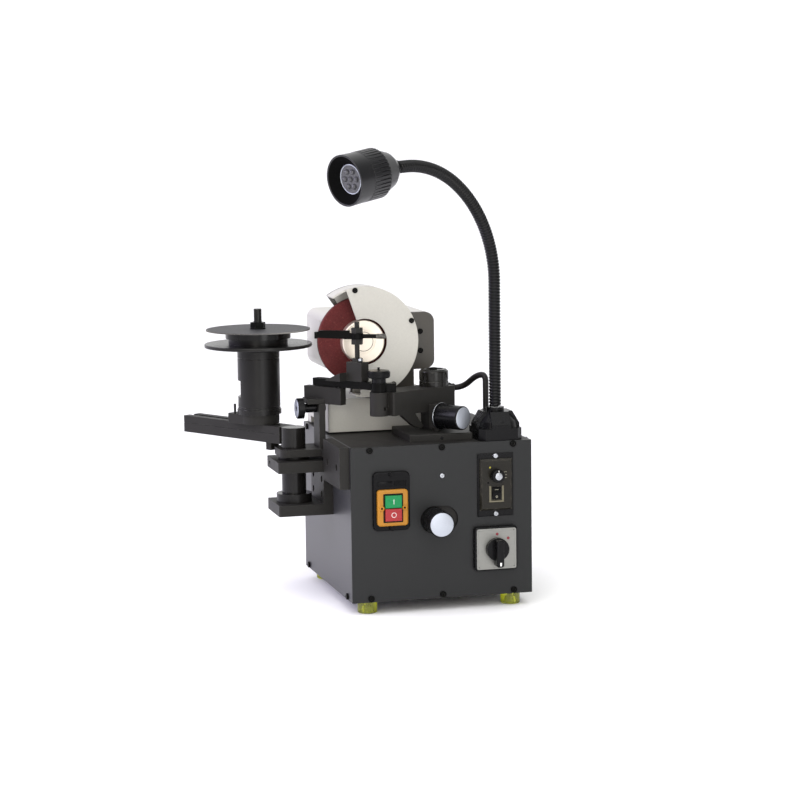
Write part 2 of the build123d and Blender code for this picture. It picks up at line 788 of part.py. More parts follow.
def feed_motor():
    z0 = ZB + BASE_T
    x0 = CAM_X - GEARBOX_X / 2
    y0 = CAM_Y - GEARBOX_Y / 2
    gearbox = span(x0, x0 + GEARBOX_X, y0, y0 + GEARBOX_Y, z0, z0 + GEARBOX_H)
    gearbox = fillet(gearbox.edges().filter_by(Axis.Z), GEARBOX_R)
    z = z0 + FEED_MOTOR_D / 2 + FEED_MOTOR_LIFT
    motor = gearbox + rod_y(FEED_MOTOR_D, CAM_X, z, y0 - FEED_MOTOR_L, y0 + 2)
    top = z0 + GEARBOX_H
    return motor - rod_z(CAM_SHAFT_D + 2 * FIT, CAM_X, CAM_Y, top - GEARBOX_BORE, top + GEARBOX_BORE)


def cam_shaft():
    top = ZB + BASE_T + GEARBOX_H
    shaft = rod_z(CAM_SHAFT_D, CAM_X, CAM_Y, top - GEARBOX_BORE + CAM_CLEAR, ZT - 4 * CAM_CLEAR)
    shaft += rod_z(2 * FEED_CAM_R, CAM_X - FEED_CAM_E, CAM_Y, FEED_CAM_Z, FEED_CAM_Z + CAM_T)
    return shaft + rod_z(2 * HEAD_CAM_R, CAM_X - HEAD_CAM_E, CAM_Y, HEAD_CAM_Z, HEAD_CAM_Z + CAM_T)


def plinth():
    z0 = ZT + PLINTH_LIFT
    x0, x1 = PLINTH_X
    y0, y1 = PLINTH_Y
    w = PLINTH_WALL
    body = span(x0, x1, y0, y1, z0, PLINTH_TOP)
    body = fillet(body.edges().filter_by(Axis.Z), 2)
    body -= span(x0 + w, x1 - w, y0 + w, y1 - w, z0 - 1, PLINTH_TOP - PLINTH_ROOF)
    half = WAY_W / 2 + SLIDE
    for y in WAY_Y:
        body -= span(x0 - 1, x1 + 1, y - half - 2, y + half + 2, z0 - 1, ZT + WAY_H + 2)
        for x in PAD_X:
            pad = span(x - PAD_L / 2, x + PAD_L / 2, y - half - 10, y + half + 10, z0, PLINTH_TOP - 1)
            body += pad - span(x - PAD_L, x + PAD_L, y - half, y + half, z0 - 1, ZT + WAY_H + SLIDE)
    fx, fy = follower_place()
    return body + rod_z(FOLLOWER_D, fx, fy, HEAD_CAM_Z, PLINTH_TOP - 1)


def guard_sector(r0, r1, a0, a1, y0, y1):
    """Ring sector about the spindle, from angle a0 to a1 anticlockwise as seen from the front."""
    ring = Circle(r1) - Circle(r0)
    steps = 12
    far = 2 * r1
    pie = [(0, 0)]
    for k in range(steps + 1):
        pie.append(polar(far, a0 + (a1 - a0) * k / steps))
    return forward(ring & Polygon(*pie, align=None), WHEEL_X, WHEEL_Z, y1, y0)


def guard_posts():
    r = GUARD_R - GUARD_POST_D / 2 - 0.5
    return [polar(r, a) for a in GUARD_POST_ANGLES]


def cover_outline():
    return RectangleRounded(COVER_X[1] - COVER_X[0], COVER_Z[1] - COVER_Z[0], COVER_R)


def head_bracket():
    y0 = GUARD_BACK_Y + GUARD_BACK_T
    cx = (COVER_X[0] + COVER_X[1]) / 2
    cz = (COVER_Z[0] + COVER_Z[1]) / 2
    part = forward(cover_outline(), cx, cz, y0 + COVER_T, y0)
    part += guard_sector(HUB_R + 2, GUARD_R, RIM_START_ANGLE, RIM_END_ANGLE, GUARD_BACK_Y, y0 + 1)
    x0, x1 = PILLAR_X
    part += span(x0, x1, y0, y0 + PILLAR_D, PLINTH_TOP, COVER_Z[0])
    part += span(x0, x1, y0, y0 + COVER_T, PLINTH_TOP, COVER_Z[0] + PILLAR_LAP)
    left, right, ahead, behind = PILLAR_TOE
    top = PLINTH_TOP + PILLAR_FOOT
    part += span(x0 - left, x1 + right, y0 - ahead, y0 + PILLAR_D + behind, PLINTH_TOP, top)
    part -= rod_y(SPINDLE_D + 6, WHEEL_X, WHEEL_Z, GUARD_BACK_Y - 1, y0 + COVER_T + 1)
    for x, z in COVER_SCREWS:
        part -= rod_y(HEAD_SHANK_D + 2 * HOLE, x, z, y0 - 1, y0 + COVER_T + 1)
    return part


def head_housing():
    y0 = GUARD_BACK_Y + GUARD_BACK_T + COVER_T
    cx = (COVER_X[0] + COVER_X[1]) / 2
    cz = (COVER_Z[0] + COVER_Z[1]) / 2
    w = HOUSING_WALL
    shell = forward(cover_outline(), cx, cz, HOUSING_Y, y0)
    shell = fillet(shell.faces().sort_by(Axis.Y)[-1].edges(), 6)
    inside = RectangleRounded(COVER_X[1] - COVER_X[0] - 2 * w, COVER_Z[1] - COVER_Z[0] - 2 * w, COVER_R - w)
    shell -= forward(inside, cx, cz, HOUSING_Y - w, y0 - 1)
    for x, z in COVER_SCREWS:
        end = COVER_Z[1] - 2 if z > cz else COVER_Z[0] + 2
        lug = span(x - 7, x + 7, y0, y0 + 22, min(z - 7, end), max(z + 7, end))
        shell += lug & forward(cover_outline(), cx, cz, HOUSING_Y, y0)
        shell -= rod_y(HEAD_SHANK_D + 2 * HOLE, x, z, y0 - 1, y0 + 16)
    for k in range(5):
        z = cz - 24 + 12 * k
        shell -= Pos(cx, HOUSING_Y, z) * Rot(90, 0, 0) * extrude(SlotOverall(90, 5), 2 * w, both=True)
    return shell


def head_screw_seats():
    y = GUARD_BACK_Y + GUARD_BACK_T
    seats = [Pos(x, y, z) * TO_FRONT for x, z in COVER_SCREWS]
    for x, z in guard_posts():
        seats.append(Pos(WHEEL_X + x, GUARD_FRONT_Y - GUARD_T, WHEEL_Z + z) * TO_FRONT)
    return seats


def head_screws():
    one = screw(HEAD_SCREW_D, HEAD_SCREW_H, HEAD_SHANK_D, HEAD_SHANK_L)
    return [seat * one for seat in head_screw_seats()]


def motor_body():
    y0 = GUARD_BACK_Y + GUARD_BACK_T + COVER_T
    y1 = y0 + MOTOR_L
    body = rod_y(MOTOR_D, WHEEL_X, WHEEL_Z, y0, y1)
    body -= rod_y(ROTOR_D + 2, WHEEL_X, WHEEL_Z, y0 + BEARING_L, y1 - BEARING_L)
    body -= rod_y(SPINDLE_D + 2 * FIT, WHEEL_X, WHEEL_Z, y0 - 1, y0 + BEARING_L + 1)
    return body - rod_y(SPINDLE_TAIL_D + 2 * FIT, WHEEL_X, WHEEL_Z, y1 - BEARING_L - 1, y1 + 1)


def spindle():
    y0 = GUARD_BACK_Y + GUARD_BACK_T + COVER_T
    y1 = y0 + MOTOR_L
    back = WHEEL_Y[1]
    shaft = rod_y(SPINDLE_D, WHEEL_X, WHEEL_Z, WHEEL_Y[0] - HUB_T + HUB_FACE_T, y0 + BEARING_L + 2)
    shaft += rod_y(COLLAR_PLATE_D, WHEEL_X, WHEEL_Z, back, back + COLLAR_PLATE_T)
    shaft += rod_y(ROTOR_D, WHEEL_X, WHEEL_Z, y0 + BEARING_L + 1, y1 - BEARING_L - 1)
    return shaft + rod_y(SPINDLE_TAIL_D, WHEEL_X, WHEEL_Z, y1 - BEARING_L - 2, y1)


def grinding_wheel():
    wheel = rod_y(2 * WHEEL_R, WHEEL_X, WHEEL_Z, WHEEL_Y[0], WHEEL_Y[1])
    wheel = chamfer(wheel.faces().sort_by(Axis.Y)[0].edges(), 1)
    return wheel - rod_y(SPINDLE_D + 2 * HOLE, WHEEL_X, WHEEL_Z, WHEEL_Y[0] - 1, WHEEL_Y[1] + 1)


def hub_flange():
    y = WHEEL_Y[0]
    hub = rod_y(2 * HUB_R, WHEEL_X, WHEEL_Z, y - HUB_T, y)
    hub = fillet(hub.faces().sort_by(Axis.Y)[0].edges(), 2)
    hub -= rod_y(SPINDLE_D + 2 * HOLE, WHEEL_X, WHEEL_Z, y - HUB_T + HUB_FACE_T, y + 1)
    inner = HUB_GROOVE_D - 2 * HUB_GROOVE_W
    groove = rod_y(HUB_GROOVE_D, WHEEL_X, WHEEL_Z, y - HUB_T - 1, y - HUB_T + HUB_GROOVE_H)
    return hub - (groove - rod_y(inner, WHEEL_X, WHEEL_Z, y - HUB_T - 2, y - HUB_T + 1))


def guard_rim():
    inner = GUARD_R - GUARD_T
    rim = guard_sector(inner, GUARD_R, RIM_START_ANGLE, RIM_END_ANGLE, GUARD_FRONT_Y, GUARD_BACK_Y)
    for x, z in guard_posts():
        post = rod_y(GUARD_POST_D, WHEEL_X + x, WHEEL_Z + z, GUARD_FRONT_Y, GUARD_BACK_Y)
        rim += post
        deep = GUARD_FRONT_Y + HEAD_SHANK_L
        rim -= rod_y(HEAD_SHANK_D + 2 * HOLE, WHEEL_X + x, WHEEL_Z + z, GUARD_FRONT_Y - 1, deep)
    return rim


def guard_front():
    y0 = GUARD_FRONT_Y - GUARD_T
    plate = guard_sector(GUARD_EYE_R, GUARD_R, GUARD_START_ANGLE, GUARD_END_ANGLE, y0, GUARD_FRONT_Y)
    for x, z in guard_posts():
        plate -= rod_y(HEAD_SHANK_D + 2 * HOLE, WHEEL_X + x, WHEEL_Z + z, y0 - 1, GUARD_FRONT_Y + 1)
    return plate


def feed_base():
    plate = span(BASE_X[0], BASE_X[1], BASE_Y[0], BASE_Y[1], ZT, ZT + BASE_H)
    plate = chamfer(plate.faces().sort_by(Axis.Z)[-1].edges(), 1)
    plate += rod_z(TOWER_D, ARM_X, ARM_Y, ZT, ARM_Z[0] - SLIDE)
    return plate - rod_z(ARM_SHAFT_D + 2 * FIT, ARM_X, ARM_Y, ZT - 1, ARM_Z[0] + 1)


def arm_shaft():
    top = ARM_Z[1]
    shaft = rod_z(ARM_SHAFT_D, ARM_X, ARM_Y, FEED_CAM_Z - 4, top + 1)
    cap = rod_z(ARM_CAP_D, ARM_X, ARM_Y, top, top + ARM_CAP_H)
    cap = fillet(cap.faces().sort_by(Axis.Z)[-1].edges(), 3)
    groove = rod_z(ARM_CAP_D + 2, ARM_X, ARM_Y, top + 8, top + 10)
    cap -= groove - rod_z(ARM_CAP_D - 2, ARM_X, ARM_Y, top + 7, top + 11)
    frame = turned(ARM_X, ARM_Y, ARM_ANGLE + LEVER_TURN)
    lever = span(0, LEVER_L, -LEVER_W / 2, LEVER_W / 2, FEED_CAM_Z, FEED_CAM_Z + CAM_T)
    lever += rod_z(2 * LEVER_W, 0, 0, FEED_CAM_Z - 4, FEED_CAM_Z + CAM_T + 4)
    lever += rod_z(2 * ROLLER_R + 2, LEVER_L, 0, FEED_CAM_Z, FEED_CAM_Z + CAM_T)
    return shaft + cap + frame * lever


def feed_arm():
    z0, z1 = ARM_Z
    half = ARM_W / 2
    arm = span(-ARM_TAIL, ARM_L - 10, -half, half, z0, z1)
    arm = fillet(arm.edges().filter_by(Axis.Z), 3)
    arm += rod_z(ARM_BOSS_D, ARM_L, 0, z0, z1)
    stop = ((98, z0 + 4), (66, z0 + 4), (46, z0 - 22), (52, z0 - 26), (70, z0 - 18))
    arm += upright(stop, half - 8, half)
    arm -= rod_z(ARM_SHAFT_D + 2 * HOLE, 0, 0, z0 - 1, z1 + 1)
    arm -= rod_z(CLAMP_SCREW_D + 2 * FIT, ARM_L, 0, z1 - 20, z1 + 1)
    arm -= rod_z(6, ARM_L - 26, 8, z1 - 8, z1 + 1)
    arm -= Pos(ARM_L, ARM_BOSS_D / 2, z0 + 12) * Rot(90, 0, 0) * Cylinder(3, 12)
    return turned(ARM_X, ARM_Y, ARM_ANGLE) * arm


def boss_xy():
    return world_xy(ARM_X, ARM_Y, ARM_ANGLE, ARM_L)


def bar_frame():
    x, y = boss_xy()
    return turned(x, y, BAR_ANGLE)


def bar_levels():
    z0 = ARM_Z[1] + BAR_LIFT
    return z0, z0 + BAR_H


def clamp_knob():
    x, y = boss_xy()
    z1 = bar_levels()[1] + SLIDE
    top = z1 + 8
    knob = rod_z(CLAMP_KNOB_D, x, y, top, top + CLAMP_KNOB_H)
    knob = fillet(knob.edges().filter_by(GeomType.CIRCLE), 2)
    knob += rod_z(CLAMP_NECK_D, x, y, z1, top + 1)
    knob += rod_z(4, x, y, top + CLAMP_KNOB_H - 1, top + CLAMP_KNOB_H + 5)
    return knob + rod_z(CLAMP_SCREW_D, x, y, ARM_Z[1] - 19, z1 + 1)


def feed_bar():
    z0, z1 = bar_levels()
    bar = span(0, BAR_L, -BAR_W / 2, BAR_W / 2, z0, z1)
    bar = fillet(bar.edges().filter_by(Axis.Z), 2)
    bar += rod_z(EYE_D, 0, 0, ARM_Z[1] + SLIDE, z1)
    bar += Rot(0, 0, -BAR_ANGLE) * span(0, 27, -7, 7, ARM_Z[1] + SLIDE, z1 - 1)
    bar -= rod_z(CLAMP_SCREW_D + 2 * FIT, 0, 0, ARM_Z[1], z1 + 1)
    bar -= rod_z(6, 18, 0, z1 - 6, z1 + 1)
    t0, t1 = BAR_SLOT
    under = z1 - BAR_SLOT_D
    bar -= span(t0, t1, -BAR_SLOT_W / 2, BAR_SLOT_W / 2, under, z1 + 1)
    wide = BAR_SLOT_UNDER_W / 2
    return bar_frame() * (bar - span(t0, t1, -wide, wide, under, under + BAR_SLOT_UNDER_H))


def hex_prism(across_flats, z0, z1):
    """Hexagonal bar about the local Z axis."""
    radius = across_flats / math.sqrt(3)
    return extrude(Plane.XY.offset(z0) * RegularPolygon(radius, 6), z1 - z0)


def feed_saddle():
    z0, z1 = bar_levels()
    top = z1 + SADDLE_H
    half = SADDLE_L / 2
    w = SADDLE_W / 2
    low = z1 + SLIDE
    saddle = span(-half, half, -w, w, low, top)
    toe = ((half - 1, top - SADDLE_SHOULDER), (half + SADDLE_TOE, low + 1), (half + SADDLE_TOE, low),
           (half - 1, low))
    saddle += upright(toe, -w, w)
    key = BAR_SLOT_W / 2 - SLIDE
    under = z1 - BAR_SLOT_D
    saddle += span(1 - half, half, -key, key, under + SLIDE, low + 1)
    wide = BAR_SLOT_UNDER_W / 2 - SLIDE
    saddle += span(1 - half, half, -wide, wide, under + SLIDE, under + BAR_SLOT_UNDER_H - SLIDE)
    saddle += rod_z(POST_D, 0, 0, top - 1, POST_TOP)
    saddle += rod_z(2.2 * POST_D, 0, 0, top - 1, top + SADDLE_COLLAR_H)
    saddle += hex_prism(NUT_AF, PAWL_Z - SLIDE - NUT_H, PAWL_Z - SLIDE)
    upper = PAWL_Z + PAWL_H + SLIDE
    saddle += hex_prism(NUT_AF, upper, upper + NUT_H)
    return bar_frame() * Pos(SADDLE_T, 0, 0) * saddle


def post_xy():
    x, y = boss_xy()
    return world_xy(x, y, BAR_ANGLE, SADDLE_T)


def pawl():
    z0 = PAWL_Z
    z1 = PAWL_Z + PAWL_H
    t = PAWL_T / 2
    top = z0 + PAWL_BLADE_H
    low, high = PAWL_NOSE
    part = rod_z(PAWL_EYE_D, 0, 0, z0, z1)
    part += span(0, PAWL_EYE_D, -t, t, z0, z1)
    outline = ((PAWL_ROOT, z0), (PAWL_L, z0 + low), (PAWL_L, z0 + high), (PAWL_L - PAWL_SLOPE, top),
               (PAWL_ROOT, top))
    part += upright(outline, -t, t)
    part += rod_x(PAWL_ROD_D, 0, (z0 + z1) / 2, -PAWL_ROD_L, 2 - PAWL_EYE_D / 2)
    part -= rod_z(POST_D + 2 * FIT, 0, 0, z0 - 1, z1 + 1)
    x, y = post_xy()
    return turned(x, y, PAWL_ANGLE) * part


def stroke_block():
    l = STROKE_BLOCK_L
    w = STROKE_BLOCK_W / 2
    z0 = STROKE_Z - STROKE_BLOCK_H / 2
    block = span(-l, 0, -w, w, z0, z0 + STROKE_BLOCK_H)
    block = fillet(block.edges().filter_by(Axis.Z), 2)
    block += rod_z(STROKE_STUD_D, -l / 2, 0, ZT + BASE_H, z0 + 1)
    block -= rod_x(STROKE_SCREW_D + 2 * FIT, 0, STROKE_Z, -l - 1, 1)
    return turned(STROKE_X, STROKE_Y, STROKE_ANGLE) * block


def stroke_knob():
    x0 = SLIDE
    x1 = x0 + STROKE_KNOB_L
    knob = rod_x(STROKE_KNOB_D, 0, STROKE_Z, x0 + 2, x1)
    knob = fillet(knob.faces().sort_by(Axis.X)[-1].edges(), 2)
    knob += rod_x(STROKE_KNOB_D + 4, 0, STROKE_Z, x0, x0 + 3)
    knob += rod_x(STROKE_SCREW_D, 0, STROKE_Z, -STROKE_BLOCK_L - 2, x0 + 1)
    return turned(STROKE_X, STROKE_Y, STROKE_ANGLE) * knob


def feed_sensor():
    x0, x1 = SENSOR_X
    bracket = span(x0, x1, SENSOR_Y - 9, SENSOR_Y + 9, ZT, SENSOR_Z + 9)
    bracket += span(x0, x1 + 16, SENSOR_Y - 9, SENSOR_Y + 9, ZT, ZT + 5)
    return bracket + rod_x(SENSOR_D, SENSOR_Y, SENSOR_Z, x0 - 8, SENSOR_END)


def bend_radii(points, diameter):
    """Arc radius at each corner of a lead: as wide as its shorter run allows."""
    radii = []
    for a, b, c in zip(points, points[1:], points[2:]):
        back = Vector(*a) - Vector(*b)
        ahead = Vector(*c) - Vector(*b)
        turn = math.radians(180 - back.get_angle(ahead))
        run = min(back.length, ahead.length)
        radii.append(max(diameter, 0.45 * run / math.tan(turn / 2)))
    return radii


def lead_points():
    x, y = LEAD_FOOT
    start = Vector(SENSOR_END, SENSOR_Y, SENSOR_Z)
    return [tuple(start), (SENSOR_END + 16, SENSOR_Y, SENSOR_Z), (x - 10, y + 22, LEAD_TOP - 4),
            (x, y, LEAD_TOP), (x, y, ZT)]


def sensor_lead():
    points = lead_points()
    radii = bend_radii(points, LEAD_D)
    path = FilletPolyline(*points, radius=radii)
    print("lead radii", [round(r, 1) for r in radii])
    lead = sweep(Plane(origin=points[0], z_dir=(1, 0, 0)) * Circle(LEAD_D / 2), path=path)
    print("lead volume", round(lead.volume), "section x length",
          round(path.length * math.pi * LEAD_D ** 2 / 4))
    return lead


def swivel_bracket():
    x0 = PIVOT_X - BRACKET_REACH
    z0, z1 = BRACKET_Z
    half = BRACKET_W / 2
    body = span(x0, -XW, PIVOT_Y - half, PIVOT_Y + half, z0, z1)
    web = -XW - BRACKET_WEB
    body -= span(x0 - 1, web, PIVOT_Y - half - 1, PIVOT_Y + half + 1, z0 + BRACKET_ARM, z1 - BRACKET_ARM)
    body = chamfer(body.edges().filter_by(Axis.Z).group_by(Axis.X)[0], 2)
    body -= rod_z(SHAFT_D + 2 * FIT, PIVOT_X, PIVOT_Y, z0 - 1, z1 + 1)
    body -= rod_x(7, PIVOT_Y + 25, z1 - BRACKET_ARM / 2, x0 - 1, x0 + 12)
    return bored(body, bracket_seats()[:4], sink=BRACKET_WEB)


def swivel_shaft():
    z0, z1 = BRACKET_Z
    shaft = rod_z(SHAFT_D, 0, 0, z0, RAIL_Z[1])
    low = z0 + BRACKET_ARM + SLIDE
    shaft += rod_z(COLLAR_D, 0, 0, low, low + COLLAR_H)
    shaft += rod_z(SHAFT_D + 10, 0, 0, z1 + SLIDE, PLATE_Z - GAP)
    shaft -= span(RAIL_START, SHAFT_D, -SHAFT_D, SHAFT_D, RAIL_Z[0], RAIL_Z[1] + 1)
    return turned(PIVOT_X, PIVOT_Y, RAIL_ANGLE) * shaft


def support_plate():
    z0 = PLATE_Z
    z1 = PLATE_Z + PLATE_T
    half = PLATE_W / 2
    x0 = PIVOT_X - PLATE_REACH
    plate = span(x0, -XW, PIVOT_Y - half, PIVOT_Y + half, z0, z1)
    plate = fillet(plate.edges().filter_by(Axis.Z).group_by(Axis.X)[0], 15)
    bx = -XW - SIDE_BLOCK_T
    y0, y1 = SIDE_BLOCK_Y
    plate += span(bx, -XW, y0, y1, SIDE_BLOCK_Z, ZT)
    plate += span(bx, -XW, y1 - 1, PIVOT_Y - half + 1, z0, z1)
    px0, px1 = GUIDE_POST_X
    py0, py1 = GUIDE_POST_Y
    plate += span(px0, px1, py0, py1, z1 - 1, GUIDE_POST_TOP)
    plate -= rod_z(SHAFT_D + 2, PIVOT_X, PIVOT_Y, z0 - 1, z1 + 1)
    plate -= rod_x(GUIDE_SCREW_D + 2 * FIT, GUIDE_KNOB_Y, GUIDE_KNOB_Z, px0 - 1, px1 + 1)
    return bored(plate, bracket_seats()[4:], sink=SIDE_BLOCK_T)


def guide_block():
    z0 = GUIDE_POST_TOP
    z1 = bar_levels()[0] - GUIDE_GAP
    y0, y1 = GUIDE_SIDE
    block = bar_frame() * span(GUIDE_T0, GUIDE_T1, y0, y1, z0, z1)
    y0, y1 = GUIDE_POST_Y
    return block + span(GUIDE_POST_X[0] - 18, GUIDE_POST_X[1] + 8, y0 + 4, y1, z0, z0 + GUIDE_BAR_T)


def guide_knob():
    y = GUIDE_KNOB_Y
    z = GUIDE_KNOB_Z
    x1 = GUIDE_POST_X[0] - SLIDE
    x0 = x1 - GUIDE_HUB_L
    knob = rod_x(GUIDE_KNOB_D, y, z, x0 - GUIDE_KNOB_T, x0)
    knob = fillet(knob.faces().sort_by(Axis.X)[0].edges(), 2)
    knob += rod_x(GUIDE_HUB_D, y, z, x0 - 1, x1)
    return knob + rod_x(GUIDE_SCREW_D, y, z, x1 - 1, GUIDE_POST_X[1] + 5)


def rail_frame():
    return turned(PIVOT_X, PIVOT_Y, RAIL_ANGLE)


def rail():
    z0, z1 = RAIL_Z
    half = RAIL_W / 2
    bar = span(RAIL_START, RAIL_END, -half, half, z0, z1)
    seam = z0 + 0.55 * (z1 - z0)
    for side in (-1, 1):
        bar -= span(0, RAIL_END + 1, side * half - 0.8, side * half + 0.8, seam, seam + 0.8)
    bar -= span(30, RAIL_END + 1, -SLOT_W / 2, SLOT_W / 2, z1 - SLOT_D, z1 + 1)
    under = z1 - SLOT_D
    bar -= span(30, RAIL_END + 1, -SLOT_UNDER_W / 2, SLOT_UNDER_W / 2, under, under + SLOT_UNDER_H)
    bar += span(RAIL_STOP[0], RAIL_STOP[1], -9, 9, z0 - RAIL_STOP_H, z0 + 1)
    return rail_frame() * bar


def blade_carriage():
    z0 = RAIL_Z[1] + SLIDE
    x0, x1 = CARRIAGE_X
    body = span(x0, x1, -CARRIAGE_W / 2, CARRIAGE_W / 2, z0, z0 + CARRIAGE_H)
    body = fillet(body.edges().filter_by(Axis.Z).group_by(Axis.X)[-1], 4)
    body += rod_z(CARRIAGE_BOSS_D, 0, 0, z0, z0 + CARRIAGE_H)
    half = CARRIAGE_BOSS_D / 2
    key = SLOT_W / 2 - SLIDE
    under = z0 - SLIDE - SLOT_D
    body += span(-half + 4, half - 4, -key, key, under + 1, z0 + 1)
    wide = SLOT_UNDER_W / 2 - SLIDE
    body += span(-half + 4, half - 4, -wide, wide, under + SLIDE, under + SLOT_UNDER_H - SLIDE)
    body += rod_z(STOP_PIN_D, x1 - 14, CARRIAGE_W / 2 - 5, z0 + CARRIAGE_H - 1, z0 + CARRIAGE_H + STOP_PIN_L)
    return rail_frame() * Pos(CARRIAGE_S, 0, 0) * body


def column_levels():
    z0 = RAIL_Z[1] + SLIDE + CARRIAGE_H
    return z0, z0 + COLUMN_H


def blade_xy():
    return world_xy(PIVOT_X, PIVOT_Y, RAIL_ANGLE, CARRIAGE_S)


def blade_column():
    z0, z1 = column_levels()
    x, y = blade_xy()
    body = rod_z(COLUMN_D, x, y, z0, z1)
    body += rod_z(COLUMN_D + 3, x, y, z0, z0 + 8)
    for z in (z0 + 11, z1 - 13):
        body -= rod_z(COLUMN_D + 8, x, y, z, z + 1.5) - rod_z(COLUMN_D - 2, x, y, z - 1, z + 3)
    low, high = COLUMN_FLAT_Z
    flat = span(-COLUMN_D, COLUMN_FLAT_IN - COLUMN_D / 2, -COLUMN_D, COLUMN_D, z0 + low, z0 + high)
    body -= turned(x, y, COLUMN_FLAT_ANGLE) * flat
    return body - rod_z(ARBOR_SHAFT_D + 2 * FIT, x, y, z1 - ARBOR_SHAFT_L - 2, z1 + 1)


def blade_level():
    """Height of the face the saw blade lies on."""
    return column_levels()[1] + SLIDE + FLANGE_NECK_H + FLANGE_T + STEP1_H + STEP2_H


def blade_flange():
    x, y = blade_xy()
    z0 = column_levels()[1]
    z1 = z0 + SLIDE
    z2 = z1 + FLANGE_NECK_H
    z3 = z2 + FLANGE_T
    z4 = z3 + STEP1_H
    part = rod_z(ARBOR_SHAFT_D, x, y, z0 - ARBOR_SHAFT_L, z1 + 1)
    part += rod_z(COLUMN_D - 4, x, y, z1, z2 + 1)
    disc = rod_z(FLANGE_D, x, y, z2, z3)
    part += chamfer(disc.edges(), 0.8)
    part += rod_z(STEP1_D, x, y, z3 - 1, z4)
    part += rod_z(STEP2_D, x, y, z4, blade_level())
    shoulder = blade_level() + BLADE_T + ARBOR_NUT_H + 2
    part += rod_z(ARBOR_D, x, y, blade_level() - 1, shoulder)
    return part + rod_z(ARBOR_END_D, x, y, shoulder - 1, shoulder + ARBOR_END_L)


def saw_blade():
    x, y = blade_xy()
    points = []
    for k in range(BLADE_TEETH):
        a = 360 * k / BLADE_TEETH
        points.append(polar(BLADE_D / 2, a))
        points.append(polar(BLADE_D / 2 - TOOTH_H, a + 0.15 * 360 / BLADE_TEETH))
    z0 = blade_level()
    blade = prism(points, z0, z0 + BLADE_T)
    blade -= rod_z(ARBOR_D + 2 * HOLE, 0, 0, z0 - 1, z0 + BLADE_T + 1)
    return Pos(x, y, 0) * blade


def arbor_nut():
    x, y = blade_xy()
    z0 = blade_level() + BLADE_T
    nut = hex_prism(ARBOR_NUT_AF, z0 + 1, z0 + ARBOR_NUT_H)
    nut += rod_z(ARBOR_NUT_AF + 4, 0, 0, z0, z0 + 2)
    nut -= rod_z(ARBOR_D + 2 * HOLE, 0, 0, z0 - 1, z0 + ARBOR_NUT_H + 1)
    return Pos(x, y, 0) * nut


def lamp_base():
    half = LAMP_W / 2
    z1 = ZT + LAMP_BLOCK_H
    z2 = z1 + LAMP_DOME_H
    block = span(-half, half, -half, half, ZT, z1)
    block = chamfer(block.edges().filter_by(Axis.Z), 9)
    profile = Plane.XZ * Polygon((0, z1 - 1), (half, z1 - 1), (half - 2, z1 + 10), (half - 14, z2), (0, z2),
                                 align=None)
    dome = revolve(profile, Axis.Z)
    rib = ((-half, z1 - 1), (half, z1 - 1), (half, z1 + 6), (half - 12, z2), (12 - half, z2),
           (-half, z1 + 6))
    for angle in (0, 90):
        dome += Rot(0, 0, angle) * upright(rib, -16, 16)
    base = block + dome + rod_z(LAMP_NUT_D, 0, 0, z2 - 1, z2 + LAMP_NUT_H)
    base -= rod_z(NECK_BORE, 0, 0, ZT - 1, z2 + LAMP_NUT_H + 1)
    return Pos(LAMP_X, LAMP_Y, 0) * base


def neck_runs():
    """Corner data of the gooseneck: each run's length and how far it turns, in degrees."""
    start = ZT + LAMP_BLOCK_H + LAMP_DOME_H + LAMP_NUT_H
    return [(NECK_RISE - start, 0.0), (math.radians(NECK_TURN1) * NECK_R1, NECK_TURN1),
            (math.radians(NECK_TURN2) * NECK_R2, NECK_TURN2), (NECK_END, 0.0)]


def neck_at(s):
    """Point and direction of the gooseneck's centre line after a length s."""
    run = 0.0
    height = ZT + LAMP_BLOCK_H + LAMP_DOME_H + LAMP_NUT_H
    lean = 0.0
    for length, turn in neck_runs():
        step = min(s, length)
        part = math.radians(turn) * step / length
        if turn:
            radius = length / math.radians(turn)
            run += radius * (math.cos(lean) - math.cos(lean + part))
            height += radius * (math.sin(lean + part) - math.sin(lean))
        else:
            run += step * math.sin(lean)
            height += step * math.cos(lean)
        lean += part
        s -= step
    ux, uy = polar(1, NECK_HEADING)
    point = Vector(LAMP_X + run * ux, LAMP_Y + run * uy, height)
    return point, Vector(math.sin(lean) * ux, math.sin(lean) * uy, math.cos(lean))


def neck_length():
    return sum(length for length, turn in neck_runs())


def neck_section(s, radius):
    point, along = neck_at(s)
    sx, sy = polar(1, NECK_HEADING + 90)
    return Plane(origin=point, x_dir=(sx, sy, 0), z_dir=along) * Circle(radius)


def neck_path():
    edges = []
    s = 0.0
    for length, turn in neck_runs():
        p0, d0 = neck_at(s)
        p1, d1 = neck_at(s + length)
        edges.append(TangentArc(p0, p1, tangent=d0) if turn else Line(p0, p1))
        s += length
    return Wire(edges)


def gooseneck():
    total = neck_length()
    pitch = total / NECK_RIBS
    crest = NECK_D / 2
    valley = crest - NECK_RIB
    sections = []
    for k in range(NECK_RIBS):
        s = k * pitch
        sections.append(neck_section(s, valley))
        sections.append(neck_section(s + 0.25 * pitch, crest))
        sections.append(neck_section(s + 0.65 * pitch, crest))
        sections.append(neck_section(s + 0.90 * pitch, valley))
    sections.append(neck_section(total, valley))
    hose = loft(sections, ruled=True)
    return hose - sweep(neck_section(0, NECK_BORE / 2), path=neck_path())


def lamp_frame():
    """Local frame at the hose's end, its X axis along the lamp's own axis."""
    end, along = neck_at(neck_length())
    return Pos(*end) * Rot(0, 0, NECK_HEADING) * Rot(0, LAMP_PITCH, 0)


def knuckle_frame():
    end, along = neck_at(neck_length())
    return Pos(*end) * Rot(0, 0, NECK_HEADING) * Rot(0, NECK_TURN1 + NECK_TURN2 - 90, 0)


